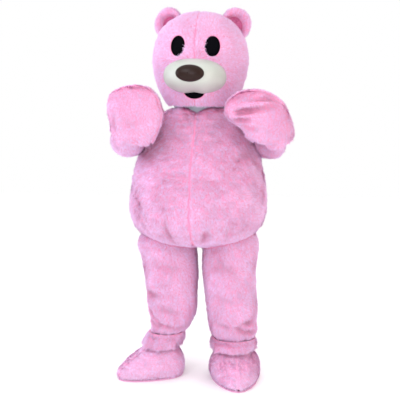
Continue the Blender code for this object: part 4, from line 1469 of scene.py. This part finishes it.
@dataclass
class Cuff:
    """The gathered hem that falls from an ankle's elastic over the boot."""

    side: Side
    table: Sequence[Section]
    seed: int
    waves: int = 8
    wave_height: float = 0.0035
    wave_drop: float = 0.6
    rows: int = 22
    columns: int = 128

    def build(self, shop: Workshop) -> None:
        """Makes the hem as one piece of plush.

        Args:
            shop: what makes and dresses the meshes.
        """
        surface = Surface.of(self.table, self.rows, self.columns)
        angle = ring_angles(self.columns)
        fall = np.linspace(0.0, 1.0, self.rows)[:, None]
        wave = self.wave_height * fall * np.cos(self.waves * angle)
        points = surface.points + surface.normals * wave[..., None]
        points[..., 2] -= self.wave_drop * wave
        surface = replace(surface, points=points).uneven(self.seed, 0.8)
        name = f"leg_cuff_{self.side.word}"
        patch = Patch.whole(surface)
        growth = {"hold": Hold.GATHERED, "comb": brushed_down, "seed": self.seed}
        shop.dressed(name, patch, HEM_PLUSH, **growth)


@dataclass
class Mitten:
    """A palm and a wider back, whose seam shows round the palm."""

    side: Side
    table: Sequence[Section]
    creases: Sequence[Crease]
    seed: int
    rows: int = 60
    columns: int = 100

    def build(self, shop: Workshop) -> None:
        """Makes the palm and the back.

        Args:
            shop: what makes and dresses the meshes.
        """
        surface = Surface.of(self.table, self.rows, self.columns, (0, -1, 0))
        surface = surface.pressed_along(self.creases)
        edge = self.columns // 5
        surface = surface.uneven(self.seed, 0.8).stitched((edge, -edge), *PAW_SEAM)
        for label, first, last in (("palm", -edge, edge), ("back", edge, self.columns - edge)):
            name = f"mitten_{self.side.word}_{label}"
            patch = Patch.cut(surface, first, last)
            shop.dressed(
                name,
                patch,
                PAW_PLUSH,
                comb=brushed_down,
                seed=self.seed + first % 7,
                part={0: SEAM_BARE, last - first: SEAM_BARE},
            )


@dataclass
class Boot:
    """An inner and an outer half, joined down the middle of the instep, on a flat sole."""

    side: Side
    place: Tuple[float, float]
    turn: float
    seed: int
    rows: int = 46
    columns: int = 96

    def build(self, shop: Workshop, frame: dict) -> None:
        """Makes the two halves, and finishes the sole.

        Args:
            shop: what makes and dresses the meshes.
            frame: the loaded frame.
        """
        swing = math.radians(self.turn)
        cos, sin = math.cos(swing), math.sin(swing)
        matrix = np.array([[cos, -sin, 0], [sin, cos, 0], [0, 0, 1.0]])
        surface = Surface.of(BOOT, self.rows, self.columns, front_point=BOOT_POINT)
        surface = surface.moved(matrix, (*self.place, 0.0)).uneven(self.seed, 0.9)
        half = self.columns // 2
        surface = surface.stitched((0, half), *BOOT_SEAM)
        labels = ("inner", "outer") if self.side is Side.RIGHT else ("outer", "inner")
        for label, first in zip(labels, (0, half)):
            name = f"boot_{self.side.word}_{label}"
            patch = Patch.cut(surface, first, first + half)
            shop.dressed(
                name,
                patch,
                LIT_BOOT_PLUSH,
                comb=self._over_toe(matrix),
                seed=self.seed + first % 5,
                part={0: BOOT_BARE, half: BOOT_BARE},
            )
        shop.carried(frame, f"boot_{self.side.word}_sole", SOLE_FELT)

    @staticmethod
    def _over_toe(matrix: np.ndarray) -> Comb:
        """Pile brushed forwards over the toe and down.

        Args:
            matrix: the foot's turn.

        Returns:
            The comb for this foot.
        """
        ahead = matrix @ np.array([0.0, -1.0, 0.0])

        def comb(points: np.ndarray) -> np.ndarray:
            """The same direction at every root."""
            return np.tile(ahead * 0.5 + np.array([0, 0, -0.8]), (len(points), 1))

        return comb


@dataclass
class Head:
    """The shell head: four plush wedges, a smooth muzzle with a nose, and two ears."""

    rows: int = 80
    columns: int = 128

    def _matrix(self) -> np.ndarray:
        """The head's lean to one side."""
        cos, sin = math.cos(math.radians(HEAD_TILT)), math.sin(math.radians(HEAD_TILT))
        return np.array([[cos, 0, sin], [0, 1, 0], [-sin, 0, cos]])

    def _placed(self, points: np.ndarray) -> np.ndarray:
        """Points of the head's frame in the floor's frame."""
        return points @ self._matrix().T + np.array(HEAD_PLACE)

    def _own(self, points: np.ndarray) -> np.ndarray:
        """Points of the floor's frame in the head's frame."""
        return (points - np.array(HEAD_PLACE)) @ self._matrix()

    def _surface(self) -> Surface:
        """Shapes the shell's outside.

        Returns:
            The surface, in the head's frame.
        """
        surface = Surface.of(HEAD, self.rows, self.columns)
        angle = ring_angles(self.columns)
        points = surface.points.copy()
        fall = np.exp(-np.arange(self.rows) / 3.5)[:, None]
        points[..., 2] -= CHIN_DIP * fall * np.maximum(np.cos(angle), 0.0) ** 2
        quarter = self.columns // 4
        surface = replace(surface, points=points).uneven(31, 0.9)
        return surface.stitched((0, quarter, 2 * quarter, 3 * quarter), *HEAD_SEAM)

    def build(self, shop: Workshop, frame: dict) -> None:
        """Makes every piece of the head.

        Args:
            shop: what makes and dresses the meshes.
            frame: the loaded frame.
        """
        surface = self._surface().moved(self._matrix(), HEAD_PLACE)
        quarter = self.columns // 4
        cutters = [self._cutter(f"eye_guide_{side.word}", EYE, side.value) for side in Side]
        cutters.append(self._cutter("mouth_guide", MOUTH, 1))
        wedges = ("head_front_left", "head_back_left", "head_back_right", "head_front_right")
        for turn, node in enumerate(wedges):
            patch = Patch.cut(surface, turn * quarter, (turn + 1) * quarter)
            backing = shop.dressed(
                node,
                patch,
                HEAD_PLUSH,
                hold=Hold.STRETCHED,
                comb=self._from_face,
                seed=300 + turn,
                keep=[self._outside_face],
                part={0: HEAD_BARE, quarter: HEAD_BARE},
            )
            if "front" in node:
                self._pierce(backing, cutters)
        for cutter in cutters:
            bpy.data.objects.remove(cutter)
        self._build_muzzle(shop)
        self._build_nose(shop)
        for side in Side:
            self._build_ear(shop, side)
        for node in ("eye_net_left", "eye_net_right", "mouth_net"):
            shop.carried(frame, node, BLACK_NET)

    def _from_face(self, points: np.ndarray) -> np.ndarray:
        """Pile brushed outwards from the nose and down the cheeks.

        Args:
            points: the roots.

        Returns:
            The direction at each root, at any length.
        """
        nose = self._placed(np.array([[0.0, -0.25, 0.19]]))
        away = unit(points - nose)
        away[:, 2] -= 0.25
        away[:, 0] += 0.2 * swirl(points, 0.09, 41)
        return away

    def _outside_face(self, points: np.ndarray) -> np.ndarray:
        """Tells where the openings and the muzzle leave room for pile.

        Args:
            points: the roots.

        Returns:
            False for each root that would grow in an opening or under the muzzle.
        """
        own = self._own(points)
        free = np.ones(len(points), bool)
        for opening, sign in ((EYE, 1), (EYE, -1), (MOUTH, 1)):
            across = (own[:, 0] - sign * opening.x) / opening.half_width
            up = (own[:, 2] - opening.z) / opening.half_height
            free &= (own[:, 1] > 0) | (across**2 + up**2 > OPENING_ROOM)
        across = own[:, 0] / (MUZZLE_HALF[0] - MUZZLE_WALL)
        up = (own[:, 2] - MUZZLE_CENTRE[2]) / (MUZZLE_HALF[2] - MUZZLE_WALL)
        reach = np.abs(across) ** MUZZLE_FULLNESS + np.abs(up) ** MUZZLE_FULLNESS
        free &= (own[:, 1] > 0) | (reach > MUZZLE_ROOM)
        return free

    def _cutter(self, name: str, opening: Opening, sign: int) -> bpy.types.Object:
        """A guide with an oval section that runs through the head's front.

        Args:
            name: the guide's name.
            opening: the oval.
            sign: which side of the face it is on.

        Returns:
            The guide, which is removed once the openings are cut.
        """
        count = OVAL_POINTS
        angle = ring_angles(count)
        x = sign * opening.x + opening.half_width * np.cos(angle)
        z = opening.z + opening.half_height * np.sin(angle)
        rings = [self._placed(np.stack([x, np.full(count, y), z], 1)) for y in (-0.30, -0.05)]
        points = Workshop.in_row(np.concatenate(rings))
        sides = [(j, count + j, count + (j + 1) % count, (j + 1) % count) for j in range(count)]
        faces = sides + [tuple(range(count)), tuple(range(2 * count - 1, count - 1, -1))]
        mesh = bpy.data.meshes.new(name)
        mesh.from_pydata(points.tolist(), [], faces)
        return linked(name, mesh)

    @staticmethod
    def _pierce(target: bpy.types.Object, cutters: Sequence[bpy.types.Object]) -> None:
        """Cuts the openings out of a panel's backing.

        Args:
            target: the backing.
            cutters: the guides.
        """
        for cutter in cutters:
            modifier = target.modifiers.new(cutter.name, "BOOLEAN")
            modifier.operation = "DIFFERENCE"
            modifier.solver = "EXACT"
            modifier.object = cutter
        bpy.context.view_layer.update()
        evaluated = target.evaluated_get(bpy.context.evaluated_depsgraph_get())
        mesh = bpy.data.meshes.new_from_object(evaluated)
        target.modifiers.clear()
        target.data = mesh

    def _muzzle_grid(self, rows: int, columns: int) -> np.ndarray:
        """The smooth dome of the muzzle.

        Args:
            rows: how many rings, from its base on the face to its tip.
            columns: how many points in each ring.

        Returns:
            The points by row and column, in the head's frame.
        """
        turn = np.linspace(0.0, math.pi / 2, rows)
        angle = ring_angles(columns)
        grid = np.zeros((rows, columns, 3))
        power = 2.0 / MUZZLE_FULLNESS
        for row, value in enumerate(turn):
            size = max(math.cos(value) ** power, TINY / MUZZLE_HALF[2])
            x = MUZZLE_HALF[0] * size * signed_power(np.sin(angle), power)
            z = MUZZLE_HALF[2] * size * signed_power(np.cos(angle), power)
            notch = CHEEK_NOTCH * size * np.exp(-((x / CHEEK_NOTCH_WIDTH) ** 2))
            z = np.where(np.cos(angle) < 0, z + notch, z)
            y = np.full(columns, -MUZZLE_HALF[1] * math.sin(value) ** power)
            grid[row] = np.stack([x, y, z], axis=1) + MUZZLE_CENTRE
        return grid

    def _build_muzzle(self, shop: Workshop) -> None:
        """Makes the muzzle's smooth dome.

        Args:
            shop: what makes and dresses the meshes.
        """
        patch = Patch.of_grid(self._placed(self._muzzle_grid(30, 96)))
        finish = shop.shaders.plain(MUZZLE_SHELL)
        shell = shop.shell("muzzle_dome", patch, MUZZLE_WALL, finish, "muzzle")
        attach(shell, "root")
        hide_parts("muzzle")
        LOG.info("muzzle: made")

    def _build_nose(self, shop: Workshop) -> None:
        """Makes the nose's cap, which curls in behind its widest ring.

        Args:
            shop: what makes and dresses the meshes.
        """
        count = 72
        angle = ring_angles(count)
        rings = []
        for turn in np.linspace(0.03, math.pi / 2 + 0.5, 22)[::-1]:
            x = NOSE_HALF[0] * math.sin(turn) * np.sin(angle)
            y = np.full(count, -NOSE_HALF[1] * math.cos(turn))
            z = NOSE_HALF[2] * math.sin(turn) * np.cos(angle)
            rings.append(np.stack([x, y, z], axis=1) + NOSE_CENTRE)
        patch = Patch.of_grid(self._placed(np.array(rings)))
        nose = shop.shell("nose_cap", patch, NOSE_WALL, shop.shaders.plain(NOSE_SHELL), "nose")
        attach(nose, "root")
        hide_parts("nose")
        LOG.info("nose: made")

    @staticmethod
    def _ear_rings(profile: Sequence[EarRing], sign: int, rows: int, columns: int) -> np.ndarray:
        """Rings of an ear, which are turned outwards with it.

        Args:
            profile: the ear's rings, from its lip to its middle.
            sign: the side's sign.
            rows: how many rings.
            columns: how many points in each ring.

        Returns:
            The points by row and column, in the head's frame.
        """
        knots = np.array([[ring.radius, ring.depth, ring.shift] for ring in profile])
        values = smooth_through(knots, knots[:, :2], rows)
        angle = ring_angles(columns)
        turn = math.radians(EAR_OUT) * sign
        ahead = np.array([math.sin(turn), -math.cos(turn), 0.0])
        side = np.array([math.cos(turn), math.sin(turn), 0.0])
        up = np.array([0.0, 0.0, 1.0])
        centre = np.array(EAR_CENTRE) * [sign, 1, 1]
        inward = unit(np.array([-float(sign), 0.0, -1.0]))
        rings = []
        for radius, depth, shift in values:
            radius = max(radius, TINY)
            middle = centre - ahead * depth + inward * shift
            ring = side * radius * np.sin(angle)[:, None] + up * radius * np.cos(angle)[:, None]
            rings.append(middle + ring)
        return np.array(rings)

    def _build_ear(self, shop: Workshop, side: Side) -> None:
        """Makes the lip and back of an ear, and the darker cup in it.

        Args:
            shop: what makes and dresses the meshes.
            side: which ear.
        """
        shell = smooth_rows(HEAD, 60)

        def clear_of_head(points: np.ndarray) -> np.ndarray:
            """True for each root outside the head."""
            own = self._own(points)
            values = [np.interp(own[:, 2], shell[:, 2], shell[:, k]) for k in (3, 4, 5)]
            depth = np.where(own[:, 1] < 0, values[1], values[2])
            return (own[:, 0] / values[0]) ** 2 + (own[:, 1] / depth) ** 2 > EAR_ROOM

        def round_the_ear(points: np.ndarray) -> np.ndarray:
            """Pile brushed away from the ear's middle."""
            centre = np.array([EAR_CENTRE]) * [side.value, 1, 1]
            return points - self._placed(centre)

        for label, profile, finish, outward in (
            ("back", EAR_BACK, HEAD_PLUSH, True),
            ("front", EAR_FRONT, DEEP_PLUSH, False),
        ):
            placed = self._placed(self._ear_rings(profile, side.value, 26, 64))
            around = np.roll(placed, -1, axis=1) - np.roll(placed, 1, axis=1)
            normal = unit(np.cross(around, np.gradient(placed, axis=0)))
            run = unit(placed[-1].mean(axis=0) - placed[0].mean(axis=0))
            wanted = run if outward else -run
            if np.mean(normal[-2] @ wanted) < 0:
                normal = -normal
            normal[-1] = wanted
            closed = list(range(64)) + [0]
            patch = Patch(placed[:, closed], normal[:, closed])
            name = f"ear_{side.word}_{label}"
            if not outward:
                patch = Patch(patch.points + patch.normals * LINING_OUT, patch.normals)
            shop.dressed(
                name,
                patch,
                finish,
                hold=Hold.STRETCHED,
                comb=round_the_ear if outward else (lambda points: -round_the_ear(points)),
                seed=360 + 7 * side.value,
                keep=[clear_of_head],
            )


@dataclass(frozen=True)
class Lamp:
    """A round area lamp that faces the costume's middle."""

    name: str
    place: Point
    size: float
    power: float
    colour: Colour


LAMPS = (
    Lamp("key", (-1.0, -2.6, 1.35), 1.6, 29.0, (0.92, 0.94, 1.0)),
    Lamp("front", (0.2, -4.0, 0.20), 1.4, 32.0, (0.97, 0.91, 1.0)),
    Lamp("fill", (2.9, -1.3, 0.6), 1.8, 22.0, (1.0, 0.82, 0.72)),
    Lamp("side", (-3.0, -0.6, 0.4), 1.8, 26.0, (0.82, 0.84, 1.0)),
    Lamp("behind", (0.9, 3.4, 0.9), 2.0, 24.0, (1.0, 0.95, 1.0)),
)
LAMP_AIM = (0.0, 0.0, -0.35)


@dataclass
class Studio:
    """The pale floor, the soft lights and the camera of the photograph."""

    distance: float = 3.5
    height: float = 1.30
    azimuth: float = 8.0
    pitch: float = 6.238
    lens: float = 62.015
    floor_reach: float = 9.0

    def build(self) -> None:
        """Sets the whole stage up."""
        scene = bpy.context.scene
        scene.view_settings.view_transform = "Standard"
        self._floor()
        self._world(scene)
        for lamp in LAMPS:
            self._hang(lamp)
        self._camera(scene)

    def _floor(self) -> None:
        """Lays the pale floor that the boots stand on."""
        mesh = bpy.data.meshes.new("floor")
        reach, level = self.floor_reach, -SHOULDER_HEIGHT
        signs = ((-1, -1), (1, -1), (1, 1), (-1, 1))
        corners = [(x * reach, y * reach, level) for x, y in signs]
        mesh.from_pydata(corners, [], [(0, 1, 2, 3)])
        floor = linked("floor", mesh)
        material = bpy.data.materials.new("pale_floor")
        material.use_nodes = True
        surface = material.node_tree.nodes["Principled BSDF"]
        surface.inputs["Base Color"].default_value = (0.97, 0.97, 0.97, 1.0)
        surface.inputs["Roughness"].default_value = 0.9
        mesh.materials.append(material)

    @staticmethod
    def _world(scene: bpy.types.Scene) -> None:
        """Lights the scene from all round: white above, dimmer and pink below.

        Args:
            scene: the scene, whose camera sees plain white.
        """
        world = bpy.data.worlds.new("soft_white")
        world.use_nodes = True
        nodes, links = world.node_tree.nodes, world.node_tree.links
        place = nodes.new("ShaderNodeTexCoord")
        parts = nodes.new("ShaderNodeSeparateXYZ")
        seen = nodes.new("ShaderNodeLightPath")
        bright = nodes.new("ShaderNodeMath")
        bright.operation = "MAXIMUM"
        height = nodes.new("ShaderNodeMapRange")
        height.inputs["From Min"].default_value = -0.1
        height.inputs["From Max"].default_value = 1.0
        height.inputs["To Min"].default_value = 0.50
        height.inputs["To Max"].default_value = 1.32
        upward = nodes.new("ShaderNodeMapRange")
        upward.inputs["From Min"].default_value = -0.7
        upward.inputs["From Max"].default_value = 0.6
        whiter = nodes.new("ShaderNodeMath")
        whiter.operation = "MAXIMUM"
        tint = nodes.new("ShaderNodeMix")
        tint.data_type = "RGBA"
        tint.inputs["A"].default_value = (1.0, 0.70, 0.76, 1.0)
        tint.inputs["B"].default_value = (1.0, 1.0, 1.0, 1.0)
        back = nodes["Background"]
        links.new(parts.outputs["Z"], upward.inputs["Value"])
        links.new(upward.outputs["Result"], whiter.inputs[0])
        links.new(seen.outputs["Is Camera Ray"], whiter.inputs[1])
        links.new(whiter.outputs[0], tint.inputs["Factor"])
        links.new(tint.outputs["Result"], back.inputs["Color"])
        links.new(place.outputs["Generated"], parts.inputs["Vector"])
        links.new(parts.outputs["Z"], height.inputs["Value"])
        links.new(height.outputs["Result"], bright.inputs[0])
        links.new(seen.outputs["Is Camera Ray"], bright.inputs[1])
        links.new(bright.outputs[0], back.inputs["Strength"])
        scene.world = world

    @staticmethod
    def _hang(lamp: Lamp) -> None:
        """Hangs a lamp, turned towards the costume's middle.

        Args:
            lamp: the lamp.
        """
        light = bpy.data.lights.new(lamp.name, "AREA")
        light.shape = "DISK"
        light.size = lamp.size
        light.energy = lamp.power
        light.color = lamp.colour
        made = linked(lamp.name, light)
        made.location = lamp.place
        away = np.array(lamp.place) - np.array(LAMP_AIM)
        flat = math.hypot(away[0], away[1])
        made.rotation_euler = (math.atan2(flat, away[2]), 0.0, math.atan2(away[0], -away[1]))

    def _camera(self, scene: bpy.types.Scene) -> None:
        """Places the photograph's camera.

        Args:
            scene: the scene that it looks at.
        """
        data = bpy.data.cameras.new("photo_view")
        data.sensor_width = 36.0
        data.lens = self.lens
        camera = linked("photo_view", data)
        turn = math.radians(self.azimuth)
        across, back = math.sin(turn) * self.distance, -math.cos(turn) * self.distance
        camera.location = (across, back, self.height - SHOULDER_HEIGHT)
        camera.rotation_euler = (math.pi / 2 - math.radians(self.pitch), 0.0, turn)
        scene.camera = camera


class Costume:
    """The whole costume, piece by piece."""

    def __init__(self, frame: dict) -> None:
        """Takes the loaded frame, and shapes the trunk and the limbs.

        Args:
            frame: the loaded frame.
        """
        self.frame = frame
        self.shop = Workshop(ShaderLibrary())
        self.torso = Torso()
        left, right, down = Side.LEFT, Side.RIGHT, (0.0, -0.45, -1.0)
        arm, leg = ("under", "upper"), ("front", "back")
        self.limbs = [
            Limb("sleeve", left, SLEEVE_LEFT, SLEEVE_LEFT_CREASES, arm, down, 120),
            Limb("sleeve", right, SLEEVE_RIGHT, SLEEVE_RIGHT_CREASES, arm, down, 130),
            Limb("leg", left, LEG_LEFT, LEG_LEFT_CREASES, leg, None, 140, gathers=0.006),
            Limb("leg", right, LEG_RIGHT, LEG_RIGHT_CREASES, leg, None, 150, gathers=0.006),
        ]

    def build(self) -> None:
        """Makes every piece."""
        self.torso.build(self.shop, [limb.surface for limb in self.limbs])
        for limb in self.limbs:
            limb.build(self.shop, self.torso)
        Cuff(Side.LEFT, CUFF_LEFT, 160).build(self.shop)
        Cuff(Side.RIGHT, CUFF_RIGHT, 170).build(self.shop)
        Mitten(Side.LEFT, MITTEN_LEFT, MITTEN_LEFT_CREASES, 180).build(self.shop)
        Mitten(Side.RIGHT, MITTEN_RIGHT, MITTEN_RIGHT_CREASES, 190).build(self.shop)
        Boot(Side.LEFT, (0.179, 0.0099), 10.0, 200).build(self.shop, self.frame)
        Boot(Side.RIGHT, (-0.203, 0.006), -52.0, 210).build(self.shop, self.frame)
        self._neck_flap()
        Head().build(self.shop, self.frame)
        LOG.info("strands in all: %d", self.shop.strands)

    def _neck_flap(self) -> None:
        """The pale lining between the head and the suit."""
        patch = Patch.whole(Surface.of(NECK_FLAP, 20, 96))
        cloth = self.shop.shaders.plain(LINING)
        flap = self.shop.shell("cloth_neck_flap", patch, FLAP_WALL, cloth, "lining")
        width, length, area = patch.cut_size()
        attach(flap, "root")
        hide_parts("neck_flap")


def main() -> None:
    """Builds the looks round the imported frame."""
    logging.basicConfig(level=logging.INFO, format="%(name)s: %(message)s")
    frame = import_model()
    Studio().build()
    Costume(frame).build()


if __name__ == "__main__":
    main()
